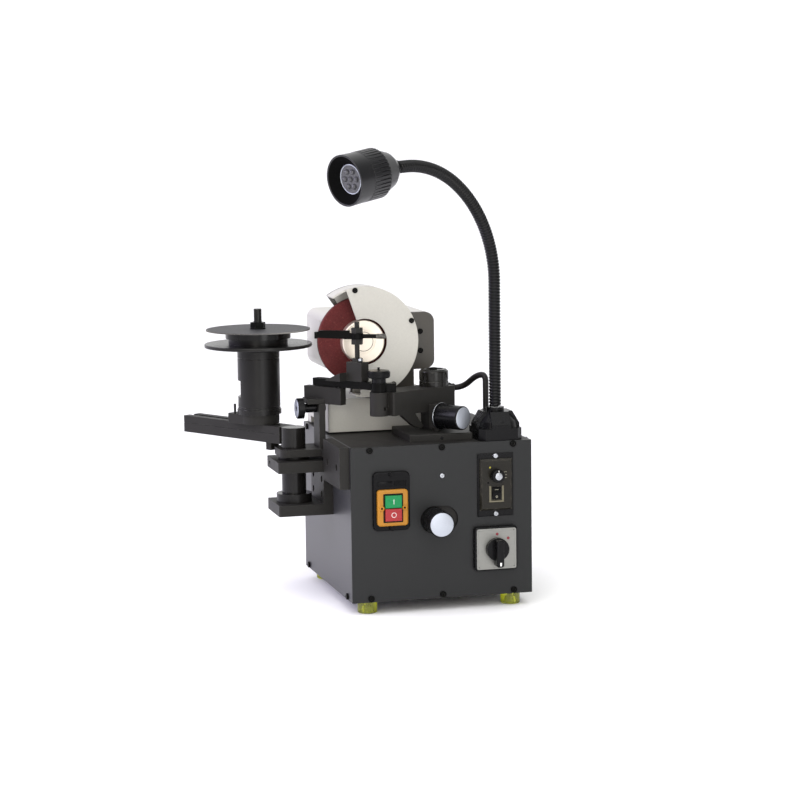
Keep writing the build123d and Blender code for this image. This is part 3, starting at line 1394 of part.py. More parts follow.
def pin_offset():
    """Lamp pivot in the lamp frame: straight ahead of the hose's end along the hose."""
    lean = math.radians(NECK_TURN1 + NECK_TURN2 - 90 - LAMP_PITCH)
    return LAMP_PIVOT * math.cos(lean), -LAMP_PIVOT * math.sin(lean)


def lamp_knuckle():
    t = TONGUE_T / 2
    part = rod_x(FERRULE_D, 0, 0, 0, FERRULE_L)
    part += span(FERRULE_L - 1, LAMP_PIVOT, -t, t, -TONGUE_R, TONGUE_R)
    part += rod_y(2 * TONGUE_R, LAMP_PIVOT, 0, -t, t)
    part -= rod_y(LAMP_PIN_D + 2 * FIT, LAMP_PIVOT, 0, -t - 1, t + 1)
    return knuckle_frame() * part


def flute_outline(r0, r1):
    points = []
    for k in range(LAMP_FLUTES):
        a = 360 * k / LAMP_FLUTES
        step = 360 / LAMP_FLUTES
        points.append(polar(r0, a))
        points.append(polar(r1, a + 0.2 * step))
        points.append(polar(r1, a + 0.8 * step))
    return Polygon(*points, align=None)


def lamp_shell():
    px, pz = pin_offset()
    r2 = LAMP_MOUTH_R
    outer = [(LAMP_TAIL, 0), (LAMP_TAIL, LAMP_TAIL_R), (LAMP_BACK, LAMP_BACK_R),
             (LAMP_SHOULDER, LAMP_SHOULDER_R), (LAMP_FLUTE_END, r2 - 1), (LAMP_MOUTH, r2)]
    seat = LENS_D / 2 + SLIDE
    inner = [(LAMP_MOUTH, r2 - LAMP_WALL), (LENS_X + LENS_T, seat), (LENS_X, seat),
             (LENS_X, seat - LENS_LIP), (LENS_X - 3, seat - LENS_LIP), (LENS_X - 10, r2 - LAMP_WALL - 5),
             (LAMP_SHOULDER, r2 - LAMP_WALL - 6), (LAMP_SHOULDER, 0)]
    shell = revolve(Plane.XZ * Polygon(*(outer + inner), align=None), Axis.X)
    sleeve = flute_outline(r2 - 2, r2 - 0.6) - Circle(r2 - LAMP_WALL - 0.5)
    plane = Plane(origin=(LAMP_SHOULDER, 0, 0), x_dir=(0, 1, 0), z_dir=(1, 0, 0))
    shell += extrude(plane * sleeve, LAMP_FLUTE_END - LAMP_SHOULDER)
    t = TONGUE_T / 2
    shell -= span(0, px + TONGUE_R + 1.5, -t - SLIDE, t + SLIDE, -2 * LAMP_MOUTH_R, 2 * LAMP_MOUTH_R)
    shell += rod_y(LAMP_PIN_D, px, pz, -LAMP_TAIL_R, LAMP_TAIL_R)
    return lamp_frame() * shell


def lamp_lens():
    r = LENS_D / 2
    lens = rod_x(LENS_D, 0, 0, LENS_X, LENS_X + LENS_T)
    spots = [(0.0, 0.0)] + [polar(13, 60 * k) for k in range(6)]
    for y, z in spots:
        led = Pos(LENS_X + LENS_T, y, z) * Sphere(LED_D / 2)
        lens += led & span(LENS_X + 1, LAMP_MOUTH, -r, r, -r, r)
    return lamp_frame() * lens


NODES = {
    "base_plate": base_plate,
    "cabinet_shell": cabinet_shell,
    "top_plate": top_plate,
    "front_panel": front_panel,
    "case_screws": case_screws,
    "feet": feet,
    "pan_screws": pan_screws,
    "switch_box": switch_box,
    "switch_bezel": switch_bezel,
    "start_button": lambda: button(button_places()[0]),
    "stop_button": lambda: button(button_places()[1]),
    "speed_box": speed_box,
    "speed_face": speed_face,
    "speed_knob": speed_knob,
    "speed_rocker": speed_rocker,
    "selector_frame": selector_frame,
    "selector_plate": selector_plate,
    "selector_handle": selector_handle,
    "hand_slider": hand_slider,
    "hand_knob": hand_knob,
    "power_inlet": power_inlet,
    "feed_motor": feed_motor,
    "cam_shaft": cam_shaft,
    "plinth": plinth,
    "head_bracket": head_bracket,
    "head_housing": head_housing,
    "head_screws": head_screws,
    "motor_body": motor_body,
    "spindle": spindle,
    "grinding_wheel": grinding_wheel,
    "hub_flange": hub_flange,
    "guard_rim": guard_rim,
    "guard_front": guard_front,
    "feed_base": feed_base,
    "arm_shaft": arm_shaft,
    "feed_arm": feed_arm,
    "clamp_knob": clamp_knob,
    "feed_bar": feed_bar,
    "feed_saddle": feed_saddle,
    "pawl": pawl,
    "stroke_block": stroke_block,
    "stroke_knob": stroke_knob,
    "feed_sensor": feed_sensor,
    "sensor_lead": sensor_lead,
    "swivel_bracket": swivel_bracket,
    "swivel_shaft": swivel_shaft,
    "support_plate": support_plate,
    "guide_block": guide_block,
    "guide_knob": guide_knob,
    "rail": rail,
    "blade_carriage": blade_carriage,
    "blade_column": blade_column,
    "blade_flange": blade_flange,
    "saw_blade": saw_blade,
    "arbor_nut": arbor_nut,
    "lamp_base": lamp_base,
    "gooseneck": gooseneck,
    "lamp_knuckle": lamp_knuckle,
    "lamp_shell": lamp_shell,
    "lamp_lens": lamp_lens,
}

os.makedirs("parts", exist_ok=True)
for name, make in NODES.items():
    made = make()
    pieces = made if isinstance(made, list) else [made]
    solids = [solid for piece in pieces for solid in piece.solids()]
    shape = solids[0] if len(solids) == 1 else Compound(children=list(solids))
    export_step(shape, f"parts/{name}.step")
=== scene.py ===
# %% [markdown]
# # A saw blade sharpener
# This machine grinds circular saw blades: a red wheel in a cream guard, a feed arm that pushes the blade
# on tooth by tooth, a rail that holds the blade, and a lamp on a gooseneck. The rigid pieces come from the
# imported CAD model, already in metres and in place. Blender adds what CAD leaves out: the wound hose and
# lead, the small trim, and a finish for every surface. We could model all of it again here, but then
# nothing would move as the joints say, so we only build around the frame that is loaded first.

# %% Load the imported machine
import json
import math

import bmesh
import bpy
from mathutils import Matrix, Vector


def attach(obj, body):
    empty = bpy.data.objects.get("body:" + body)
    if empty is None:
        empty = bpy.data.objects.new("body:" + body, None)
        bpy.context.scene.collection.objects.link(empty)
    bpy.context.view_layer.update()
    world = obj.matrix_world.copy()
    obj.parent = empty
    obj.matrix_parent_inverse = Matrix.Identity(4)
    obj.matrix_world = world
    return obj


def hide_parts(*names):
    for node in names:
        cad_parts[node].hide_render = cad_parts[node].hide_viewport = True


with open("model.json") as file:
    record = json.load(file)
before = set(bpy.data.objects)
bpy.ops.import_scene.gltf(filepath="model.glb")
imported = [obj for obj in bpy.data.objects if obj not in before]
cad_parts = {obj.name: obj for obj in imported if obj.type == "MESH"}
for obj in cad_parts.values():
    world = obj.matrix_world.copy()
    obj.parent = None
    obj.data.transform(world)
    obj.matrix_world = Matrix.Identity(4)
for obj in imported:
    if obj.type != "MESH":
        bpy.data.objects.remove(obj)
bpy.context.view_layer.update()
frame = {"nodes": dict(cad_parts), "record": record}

MM = 0.001

# %% [markdown]
# ## The camera
# The photograph was taken from the front left with a long lens, a little above the blade. A long lens keeps
# the cabinet's edges almost parallel, so we set the focal length and the three turns of the camera as
# numbers, and build its axes from them: where it looks, what is level, and what is down.

# %% Camera
YAW, PITCH, ROLL = 0.2571, 0.1279, 0.0122
CAMERA_PLACE = (-1.05255, -3.91542, 0.84184)
FOCAL_LENGTH = 110.88
SENSOR_WIDTH = 36
look = Vector((math.sin(YAW) * math.cos(PITCH), math.cos(YAW) * math.cos(PITCH), -math.sin(PITCH)))
level = Vector((math.cos(YAW), -math.sin(YAW), 0))
down = look.cross(level)
right = level * math.cos(ROLL) + down * math.sin(ROLL)
up = level * math.sin(ROLL) - down * math.cos(ROLL)
camera_data = bpy.data.cameras.new("photo_camera")
camera_data.lens = FOCAL_LENGTH
camera_data.sensor_width = SENSOR_WIDTH
camera = bpy.data.objects.new("photo_camera", camera_data)
bpy.context.collection.objects.link(camera)
axes = Matrix((right, up, -look)).transposed().to_4x4()
camera.matrix_world = Matrix.Translation(CAMERA_PLACE) @ axes
bpy.context.scene.camera = camera
print("camera", round(camera_data.lens, 1), "mm lens,", round(math.degrees(YAW), 1), "degrees from the front")

# %% [markdown]
# ## A tube wound from one rib
# Both the gooseneck and the sensor's conduit are made by winding a strip round a rod, which leaves a rib
# that runs round and round. Stacking separate rings would look similar, but on the real hose you can
# follow the rib with a finger, so we draw the outline of one rib and spin it with a small step upwards.
# One turn is enough: an Array modifier repeats it one pitch higher each time and welds the seams. A Curve
# modifier bends the straight tube along a guide, and the result is made final, so that the piece has its
# place in its own mesh. The rib's outline is a half round, given as shares of the pitch and of the depth.

# %% Wound tube and its bend
SHARP_ANGLE = math.radians(38)
RIB_OUTLINE = ((0.0, 1.0), (0.08, 0.55), (0.22, 0.18), (0.38, 0.02), (0.55, 0.02), (0.71, 0.18),
               (0.85, 0.55), (1.0, 1.0))


def as_object(bm, name):
    """Object with the bmesh as its mesh, smooth but for its sharp edges."""
    mesh = bpy.data.meshes.new(name)
    bm.to_mesh(mesh)
    bm.free()
    mesh.shade_smooth()
    mesh.set_sharp_from_angle(angle=SHARP_ANGLE)
    piece = bpy.data.objects.new(name, mesh)
    bpy.context.collection.objects.link(piece)
    return piece


def wound_tube(name, radius, depth, pitch, turns, around, guide):
    """Tube with a helical rib, in millimetres, bent along a guide curve that is then put away."""
    bm = bmesh.new()
    verts = [bm.verts.new((radius - low * depth, 0, share * pitch)) for share, low in RIB_OUTLINE]
    strip = [bm.edges.new(pair) for pair in zip(verts, verts[1:])]
    bmesh.ops.spin(bm, geom=verts + strip, cent=(0, 0, 0), axis=(0, 0, 1), dvec=(0, 0, pitch / around),
                   angle=2 * math.pi, steps=around)
    bmesh.ops.recalc_face_normals(bm, faces=bm.faces)
    bmesh.ops.transform(bm, matrix=Matrix.Scale(MM, 4), verts=bm.verts)
    piece = as_object(bm, name)
    stack = piece.modifiers.new("turns", "ARRAY")
    stack.count = turns
    stack.use_relative_offset = False
    stack.use_constant_offset = True
    stack.constant_offset_displace = (0, 0, pitch * MM)
    stack.use_merge_vertices = True
    stack.merge_threshold = 0.02 * MM
    bend = piece.modifiers.new("bend", "CURVE")
    bend.object = guide
    bend.deform_axis = "POS_Z"
    one_turn = piece.data
    depsgraph = bpy.context.evaluated_depsgraph_get()
    piece.data = bpy.data.meshes.new_from_object(piece.evaluated_get(depsgraph))
    piece.modifiers.clear()
    bpy.data.meshes.remove(one_turn)
    piece.data.name = name
    bpy.data.objects.remove(guide)
    return piece


print("rib outline of", len(RIB_OUTLINE), "points")

# %% [markdown]
# ## The sensor's lead
# A short black lead leaves the sensor beside the feed arm, arches over and goes down through the top plate.
# It is a small corrugated conduit, so it holds its arch. Its line is a NURBS curve: the route's corners
# are its control points, and the curve rounds them by itself. One extra point keeps the long drop straight.

# %% Sensor lead
LEAD_ROUTE = ((66, -15, 340), (82, -15, 340), (91, -58, 364), (101, -80, 368), (101, -80, 343.5),
              (101, -80, 270))
route = bpy.data.curves.new("lead_route", "CURVE")
route.dimensions = "3D"
spline = route.splines.new("NURBS")
spline.points.add(len(LEAD_ROUTE) - 1)
for point, place in zip(spline.points, LEAD_ROUTE):
    point.co = (place[0] * MM, place[1] * MM, place[2] * MM, 1)
spline.order_u = 3
spline.use_endpoint_u = True
spline.resolution_u = 24
lead_guide = bpy.data.objects.new("lead_guide", route)
bpy.context.collection.objects.link(lead_guide)
line = bpy.data.meshes.new_from_object(lead_guide)
lead_path = [vertex.co.copy() for vertex in line.vertices]
bpy.data.meshes.remove(line)
lead_length = sum((b - a).length for a, b in zip(lead_path, lead_path[1:]))

LEAD_R = 5.0
LEAD_PITCH = 2.4
LEAD_RIB = 0.5
lead_turns = round(lead_length / MM / LEAD_PITCH)
lead = wound_tube("lead", LEAD_R, LEAD_RIB, LEAD_PITCH, lead_turns, 24, lead_guide)
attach(lead, "cabinet")
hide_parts("sensor_lead")
print("lead", round(lead_length, 4), "m long")

# %% [markdown]
# ## The gooseneck
# The lamp's neck is a metal hose with a black skin: it stays where it is bent. It rises straight out of its
# base, leans over in a wide arc, then in a tighter one, and ends about level at the lamp. A Bezier curve
# follows an arc well when each handle is the radius times four thirds of the tangent of a quarter of the
# turn, so five points are enough.
# The real ribs are about 3 mm apart, which is finer than the picture's pixels can show, so ours are 5 mm.

# %% Gooseneck hose
NECK_FOOT = Vector((101.6, -130.3, 321.0))
NECK_HEADING = math.radians(207.5)
NECK_R = 10.0
NECK_RIB = 1.9
NECK_RIBS = 104
# Each run is a length and no turn, or a bend radius and its turn in degrees.
NECK_RUNS = ((200.5, 0.0), (198.0, 55.0), (169.0, 38.0), (18.0, 0.0))
heading = Vector((math.cos(NECK_HEADING), math.sin(NECK_HEADING), 0))
upward = Vector((0, 0, 1))

stations = []
place, lean, neck_length, before = NECK_FOOT.copy(), 0.0, 0.0, 1.0
for size, degrees in NECK_RUNS:
    turn = math.radians(degrees)
    along = upward * math.cos(lean) + heading * math.sin(lean)
    after = size * 4 / 3 * math.tan(turn / 4) if turn else size / 3
    stations.append((place.copy(), along, before, after))
    if turn:
        inward = heading * math.cos(lean) - upward * math.sin(lean)
        centre = place + inward * size
        lean += turn
        place = centre - (heading * math.cos(lean) - upward * math.sin(lean)) * size
        neck_length += size * turn
    else:
        place = place + along * size
        neck_length += size
    before = after
neck_end = place.copy()
stations.append((neck_end, upward * math.cos(lean) + heading * math.sin(lean), before, 1.0))

neck_curve = bpy.data.curves.new("neck_route", "CURVE")
neck_curve.dimensions = "3D"
neck_curve.resolution_u = 40
bezier = neck_curve.splines.new("BEZIER")
bezier.bezier_points.add(len(stations) - 1)
for point, (place, along, before, after) in zip(bezier.bezier_points, stations):
    point.co = place * MM
    point.handle_left = (place - along * before) * MM
    point.handle_right = (place + along * after) * MM
neck_guide = bpy.data.objects.new("neck_guide", neck_curve)
bpy.context.collection.objects.link(neck_guide)
neck = wound_tube("neck_hose", NECK_R, NECK_RIB, neck_length / NECK_RIBS, NECK_RIBS - 1, 28, neck_guide)
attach(neck, "cabinet")
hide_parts("gooseneck")
print("gooseneck", round(neck_length), "mm long, ends at", [round(v, 1) for v in neck_end])

# %% [markdown]
# ## Floor and light
# The photograph is a studio shot: a white sweep behind and below, a dimmer room in front, and large soft
# boxes. So black knobs stay dark towards us, while faces seen at a slant pick up the white behind
# them, as the cabinet's left wall does. An all white world would wash the blacks out, so the world's
# strength follows the direction: bright behind the machine, dimmer behind the camera, and a little cool on
# the left. A very wide sun overhead lights the plain floor evenly as far as it goes. A tall strip box in
# front, to the right of the camera, reaches down to the floor, because an upright cylinder mirrors what is at
# its own height: it draws the long highlights on the column and the knobs. In a Mix node for colours, inputs
# 0, 6 and 7 are the share and the two colours, and output 2 is the result.

# %% Node helpers
def linear(code, light=1.0):
    """sRGB hex colour as linear RGBA, made lighter or darker by a factor."""
    parts = [int(code[i:i + 2], 16) / 255 for i in (1, 3, 5)]
    parts = [c / 12.92 if c <= 0.04045 else ((c + 0.055) / 1.055) ** 2.4 for c in parts]
    return [min(1.0, c * light) for c in parts] + [1.0]


def add(tree, kind, inputs=None, **settings):
    """Add a shader node, set its options and values, and link the inputs that are given a socket."""
    node = tree.nodes.new("ShaderNode" + kind)
    for name, value in settings.items():
        setattr(node, name, value)
    for key, value in (inputs or {}).items():
        if isinstance(value, bpy.types.NodeSocket):
            tree.links.new(value, node.inputs[key])
        else:
            node.inputs[key].default_value = value
    return node


def begin(name):
    """Empty material, its tree, and Object coordinates, which are metres in the machine's frame."""
    material = bpy.data.materials.new(name)
    material.use_nodes = True
    tree = material.node_tree
    tree.nodes.clear()
    return material, tree, add(tree, "TexCoord").outputs["Object"]


print("half grey is", round(linear("#808080")[0], 3), "in linear light")

# %% Floor, world and lamps
FRONT_GLOW, BACK_GLOW = 0.3, 1.15
FLOOR_R = 30.0
FLOOR_Z = -0.0004
scene = bpy.context.scene
scene.view_settings.view_transform = "Standard"
world = bpy.data.worlds.new("studio")
scene.world = world
world.use_nodes = True
sky = world.node_tree
sky.nodes.clear()
toward = add(sky, "SeparateXYZ", {"Vector": add(sky, "TexCoord").outputs["Generated"]})
sweep = add(sky, "MapRange", {"Value": toward.outputs["Y"], "From Min": -0.2, "From Max": 0.6,
                              "To Min": FRONT_GLOW, "To Max": BACK_GLOW}, interpolation_type="SMOOTHSTEP")
leftward = add(sky, "MapRange", {"Value": toward.outputs["X"], "From Min": 0.0, "From Max": -0.6})
tint = add(sky, "Mix", {0: leftward.outputs["Result"], 6: linear("#ffffff"), 7: linear("#e4dcff")},
           data_type="RGBA").outputs[2]
glow = add(sky, "Background", {"Color": tint, "Strength": sweep.outputs["Result"]})
add(sky, "OutputWorld", {"Surface": glow.outputs[0]})

floor_paint, tree, spot = begin("studio_floor")
paper = add(tree, "TexNoise", {"Vector": spot, "Scale": 1 / (300 * MM), "Detail": 2.0}).outputs["Fac"]
shade = add(tree, "Mix", {0: paper, 6: linear("#fbfbfa"), 7: linear("#fefefe")},
            data_type="RGBA").outputs[2]
shader = add(tree, "BsdfPrincipled", {"Base Color": shade, "Roughness": 0.7})
add(tree, "OutputMaterial", {"Surface": shader.outputs[0]})
bm = bmesh.new()
bmesh.ops.create_circle(bm, cap_ends=True, segments=96, radius=FLOOR_R,
                        matrix=Matrix.Translation((0, 0, FLOOR_Z)))
floor = as_object(bm, "studio_floor")
floor.data.materials.append(floor_paint)

# Each lamp: name, kind, place, aim, size (for the sun, its width in radians), power and colour.
LAMPS = (("soft_sun", "SUN", (-0.5, -1.2, 2.7), (-0.05, 0.0, 0.3), (1.2, 1.2), 2.25, "#ffffff"),
         ("strip_box_right", "AREA", (0.2, -2.4, 1.0), (-0.1, -0.1, 1.0), (0.8, 1.9), 15.0, "#ffffff"),
         ("soft_box_left", "AREA", (-2.3, 0.3, 1.5), (-0.05, 0.1, 0.35), (1.1, 1.1), 34.0, "#ece8ff"),
         ("fill_box", "AREA", (-1.3, -2.6, 1.0), (-0.1, 0.0, 0.35), (0.9, 0.9), 19.0, "#fffaf0"))
for name, kind, place, aim, size, power, colour in LAMPS:
    lamp_data = bpy.data.lights.new(name, kind)
    if kind == "SUN":
        lamp_data.angle = size[0]
    else:
        lamp_data.shape = "RECTANGLE"
        lamp_data.size, lamp_data.size_y = size
    lamp_data.energy = power
    lamp_data.color = linear(colour)[:3]
    lamp = bpy.data.objects.new(name, lamp_data)
    lamp.location = place
    lamp.rotation_mode = "QUATERNION"
    lamp.rotation_quaternion = (Vector(aim) - Vector(place)).to_track_quat("-Z", "Y")
    lamp.visible_camera = False
    bpy.context.collection.objects.link(lamp)
print("studio with", len(LAMPS), "soft lamps")

# %% [markdown]
# ## Edges that catch the light
# No machined or moulded edge is truly sharp, and paint wears off there first. CAD edges are sharp, and the
# CAD meshes are left as they are, so the shader rounds them: the Bevel node gives the normal that a small
# radius would have. Where that differs from the real normal there is an edge, and a patchy noise breaks
# it up into wear.

# %% Edge helper
def edges(tree, spot, radius, patch):
    """Rounded normal, and a mask of worn edges, for a radius and a patch size in millimetres."""
    rounded = add(tree, "Bevel", {"Radius": radius * MM}, samples=6).outputs["Normal"]
    flat = add(tree, "NewGeometry").outputs["Normal"]
    agree = add(tree, "VectorMath", {0: rounded, 1: flat}, operation="DOT_PRODUCT").outputs["Value"]
    edge = add(tree, "MapRange", {"Value": agree, "From Min": 0.995, "From Max": 0.90}).outputs["Result"]
    patchy = add(tree, "TexNoise", {"Vector": spot, "Scale": 1 / (patch * MM), "Detail": 3.0}).outputs["Fac"]
    share = add(tree, "MapRange", {"Value": patchy, "From Min": 0.42, "From Max": 0.66}).outputs["Result"]
    return rounded, add(tree, "Math", {0: edge, 1: share}, operation="MULTIPLY").outputs[0]


print("edge helper ready")

# %% [markdown]
# ## Paint on sheet steel
# The cabinet is powder coated: charged powder is baked on and melts into a skin with a fine pebbled face.
# The head and the guard have a smoother cream enamel. Both are a plastic film on metal, so the shader is not
# metallic: an IOR of 1.5, a satin roughness, a pebble bump, soft clouds of tone, and paler worn edges.

# %% Painted steel
def painted_steel(name, colour, worn, roughness, pebble, depth, sheen=0.5):
    """Paint film with pebbles of a size and depth in millimetres, and a sheen, 0.5 for smooth paint."""
    material, tree, spot = begin(name)
    rounded, wear = edges(tree, spot, 0.7, 9)
    cloud = add(tree, "TexNoise", {"Vector": spot, "Scale": 1 / (120 * MM), "Detail": 3.0}).outputs["Fac"]
    grit = add(tree, "TexNoise", {"Vector": spot, "Scale": 1 / (pebble * MM), "Detail": 2.0}).outputs["Fac"]
    tone = add(tree, "Mix", {0: cloud, 6: linear(colour, 0.94), 7: linear(colour, 1.06)},
               data_type="RGBA").outputs[2]
    speck = add(tree, "Mix", {0: grit, 6: linear("#f0f0f0"), 7: linear("#ffffff")},
                data_type="RGBA").outputs[2]
    tone = add(tree, "Mix", {0: 1.0, 6: tone, 7: speck}, data_type="RGBA", blend_type="MULTIPLY").outputs[2]
    tone = add(tree, "Mix", {0: wear, 6: tone, 7: linear(worn)}, data_type="RGBA").outputs[2]
    rough = add(tree, "MapRange", {"Value": grit, "To Min": roughness - 0.07, "To Max": roughness + 0.07})
    bump = add(tree, "Bump", {"Height": grit, "Strength": 0.5, "Distance": depth * MM, "Normal": rounded})
    shader = add(tree, "BsdfPrincipled", {"Base Color": tone, "Roughness": rough.outputs["Result"],
                                          "Specular IOR Level": sheen, "IOR": 1.5,
                                          "Normal": bump.outputs["Normal"]})
    add(tree, "OutputMaterial", {"Surface": shader.outputs[0]})
    return material


FINISH = {
    # Black textured powder coat: the pebble is 0.5 mm, drawn at 1.4 mm so that it shows.
    "cabinet_black": painted_steel("powder_coat_black", "#2e2e31", "#4d4d52", 0.42, 1.4, 0.06),
    # Anthracite powder coat of the front panel, a little smoother, the same pebble.
    "panel_grey": painted_steel("powder_coat_anthracite", "#1d1e1e", "#3c3d3d", 0.42, 1.4, 0.04, 0.28),
    # Cream enamel sprayed on castings: gentle orange peel, drawn at 3 mm.
    "cream_paint": painted_steel("enamel_cream", "#bfbdb4", "#b9b6ae", 0.40, 3.0, 0.02),
    # Motor grey enamel.
    "motor_grey": painted_steel("enamel_motor_grey", "#6f7478", "#94989b", 0.42, 3.0, 0.05),
    # Dark brown lacquer on the controller's pressed face: brushed metal shimmers through.
    "dark_plate": painted_steel("lacquer_dark_brown", "#1e1c16", "#8a8472", 0.27, 1.0, 0.015, 0.2),
}
# Umber grey enamel on the cover plate of the head.
cover_paint = painted_steel("enamel_umber_grey", "#413d36", "#6a665e", 0.42, 3.0, 0.03)
print(len(FINISH) + 1, "painted finishes")

# %% [markdown]
# ## Blackened steel
# Most of the mechanism is steel that was milled and then blackened in a hot salt bath. The skin is magnetite,
# a black mineral kept oily: to the eye it is a dark satin glaze rather than bare metal, so the shader
# is not metallic there, with cloudy mottling and faint cutter lines. Where edges rub through, the metal
# shows, and ground or plated steel is metal all over. Shafts and discs were turned on a lathe, which leaves
# fine rings, and a wave pattern about the piece's own axis draws those. A wave's bands are 0.314 units apart
# at a scale of 1, so that number over the ring's width gives the scale.

# %% Machined steel
WAVE_BAND = 0.314


def machined_steel(name, colour, rubbed, roughness, metal, axis=None, ring=1.5, bare=None, sheen=0.5):
    """Steel with mottling, or with lathe rings of a width in mm about a vertical axis through a point.
    Beyond a bare radius the black is ground away.
    """
    material, tree, spot = begin(name)
    rounded, wear = edges(tree, spot, 0.5, 5)
    cloud = add(tree, "TexNoise", {"Vector": spot, "Scale": 1 / (35 * MM), "Detail": 4.0}).outputs["Fac"]
    if axis:
        away = [-v * MM for v in axis]
        centred = add(tree, "Mapping", {"Vector": spot, "Location": away}).outputs["Vector"]
        lines = add(tree, "TexWave", {"Vector": centred, "Scale": WAVE_BAND / (ring * MM), "Distortion": 0.6,
                                      "Detail": 2.0}, wave_type="RINGS", rings_direction="Z").outputs["Fac"]
    else:
        # Cutter lines 0.4 mm apart, drawn 1.2 mm apart so that they show.
        drawn = add(tree, "Mapping", {"Vector": spot, "Scale": (0.12, 1.0, 1.0)}).outputs["Vector"]
        lines = add(tree, "TexNoise", {"Vector": drawn, "Scale": 1 / (1.2 * MM),
                                       "Detail": 2.0}).outputs["Fac"]
    tone = add(tree, "Mix", {0: cloud, 6: linear(colour, 0.75), 7: linear(colour, 1.25)},
               data_type="RGBA").outputs[2]
    if bare:
        sideways = add(tree, "VectorMath", {0: centred, 1: (1, 1, 0)}, operation="MULTIPLY")
        reach = add(tree, "VectorMath", {0: sideways.outputs["Vector"]}, operation="LENGTH").outputs["Value"]
        ground = add(tree, "MapRange", {"Value": reach, "From Min": (bare - 0.4) * MM,
                                        "From Max": (bare + 0.4) * MM})
        wear = add(tree, "Math", {0: wear, 1: ground.outputs["Result"]}, operation="MAXIMUM").outputs[0]
    tone = add(tree, "Mix", {0: wear, 6: tone, 7: linear(rubbed)}, data_type="RGBA").outputs[2]
    mixed = add(tree, "Math", {0: cloud, 1: lines}, operation="ADD").outputs[0]
    rough = add(tree, "MapRange", {"Value": mixed, "From Min": 0.4, "From Max": 1.6,
                                   "To Min": roughness - 0.08, "To Max": roughness + 0.08})
    bump = add(tree, "Bump", {"Height": lines, "Strength": 0.25, "Distance": 0.04 * MM, "Normal": rounded})
    shader = add(tree, "BsdfPrincipled", {"Base Color": tone, "Metallic": metal,
                                          "Roughness": rough.outputs["Result"],
                                          "Specular IOR Level": sheen, "Normal": bump.outputs["Normal"]})
    if not metal:
        tree.links.new(wear, shader.inputs["Metallic"])
    add(tree, "OutputMaterial", {"Surface": shader.outputs[0]})
    return material


BLADE_AXIS = (-246.68, 68.28, 0)
PIVOT_AXIS = (-205.0, 0, 0)
ARM_AXIS = (20.0, -55.0, 0)
# The blade's teeth are ground bare beyond this radius.
TOOTH_ROOT_R = 84.2
FINISH["black_oxide"] = machined_steel("black_oxide_milled", "#252422", "#66665f", 0.5, 0, sheen=0.15)
FINISH["dark_steel"] = machined_steel("blued_steel", "#090908", "#4c4c47", 0.3, 0, sheen=0.06)
FINISH["ground_steel"] = machined_steel("ground_steel", "#9a9a98", "#d8d8d4", 0.30, 1)
# Zinc plate on small screws is bright, with a faint blue cast.
FINISH["bright_zinc"] = machined_steel("zinc_plate", "#a9acb0", "#d0d0d0", 0.28, 1)
worn_steel = machined_steel("worn_steel", "#55534e", "#8a8a86", 0.36, 1)
FINISH["blade_steel"] = machined_steel("blackened_blade", "#242425", "#807e7a", 0.58, 0, BLADE_AXIS, 1.6,
                                       TOOTH_ROOT_R)
turned_blued = machined_steel("turned_blued_steel", "#161514", "#66665f", 0.26, 0, BLADE_AXIS, 2.0,
                              sheen=0.22)
turned_shaft = machined_steel("turned_shaft_steel", "#161514", "#66665f", 0.26, 0, PIVOT_AXIS, 2.0,
                              sheen=0.22)
turned_cap = machined_steel("turned_cap_steel", "#181714", "#66665f", 0.25, 0, ARM_AXIS, 2.0, sheen=0.25)
print("steel finishes added,", len(FINISH), "in all")

# %% [markdown]
# ## Moulded plastic
# Knobs, switches and the lamp are injection moulded ABS and nylon. The mould was spark eroded, so the skin
# has a fine even grain and a satin sheen, and only polished moulds give a gloss. Corners are rounded and a
# touch shinier where fingers rub them. The pigment is in the plastic, so worn edges stay the same colour.

# %% Moulded plastics
def moulded(name, colour, roughness, grain, depth, sheen=0.25):
    """Coloured plastic with spark grain of a size and depth in millimetres, which breaks the sheen."""
    material, tree, spot = begin(name)
    rounded, rubbed = edges(tree, spot, 0.6, 6)
    cloud = add(tree, "TexNoise", {"Vector": spot, "Scale": 1 / (25 * MM), "Detail": 3.0}).outputs["Fac"]
    spark = add(tree, "TexNoise", {"Vector": spot, "Scale": 1 / (grain * MM), "Detail": 1.0}).outputs["Fac"]
    tone = add(tree, "Mix", {0: cloud, 6: linear(colour, 0.88), 7: linear(colour, 1.12)},
               data_type="RGBA").outputs[2]
    rough = add(tree, "MapRange", {"Value": cloud, "To Min": roughness - 0.06, "To Max": roughness + 0.06})
    worn = add(tree, "MapRange", {"Value": rubbed, "To Min": 1.0, "To Max": 0.7}).outputs["Result"]
    rough = add(tree, "Math", {0: rough.outputs["Result"], 1: worn}, operation="MULTIPLY").outputs[0]
    bump = add(tree, "Bump", {"Height": spark, "Strength": 0.4, "Distance": depth * MM, "Normal": rounded})
    shader = add(tree, "BsdfPrincipled", {"Base Color": tone, "Roughness": rough, "IOR": 1.53,
                                          "Specular IOR Level": sheen, "Normal": bump.outputs["Normal"]})
    add(tree, "OutputMaterial", {"Surface": shader.outputs[0]})
    return material


# The grain is 0.15 mm, drawn at 0.9 mm so that it shows.
FINISH["black_plastic"] = moulded("nylon_black", "#09090a", 0.28, 0.9, 0.02, 0.14)
FINISH["gloss_black"] = moulded("abs_black", "#09090a", 0.24, 0.9, 0.015, 0.1)
FINISH["orange_plastic"] = moulded("abs_orange", "#aa7420", 0.30, 0.9, 0.03)
FINISH["green_plastic"] = moulded("abs_green", "#057c44", 0.28, 0.9, 0.02)
FINISH["red_plastic"] = moulded("abs_red", "#98282b", 0.28, 0.9, 0.02)
FINISH["lead_black"] = moulded("pvc_conduit_black", "#1d1b1b", 0.42, 0.9, 0.02)
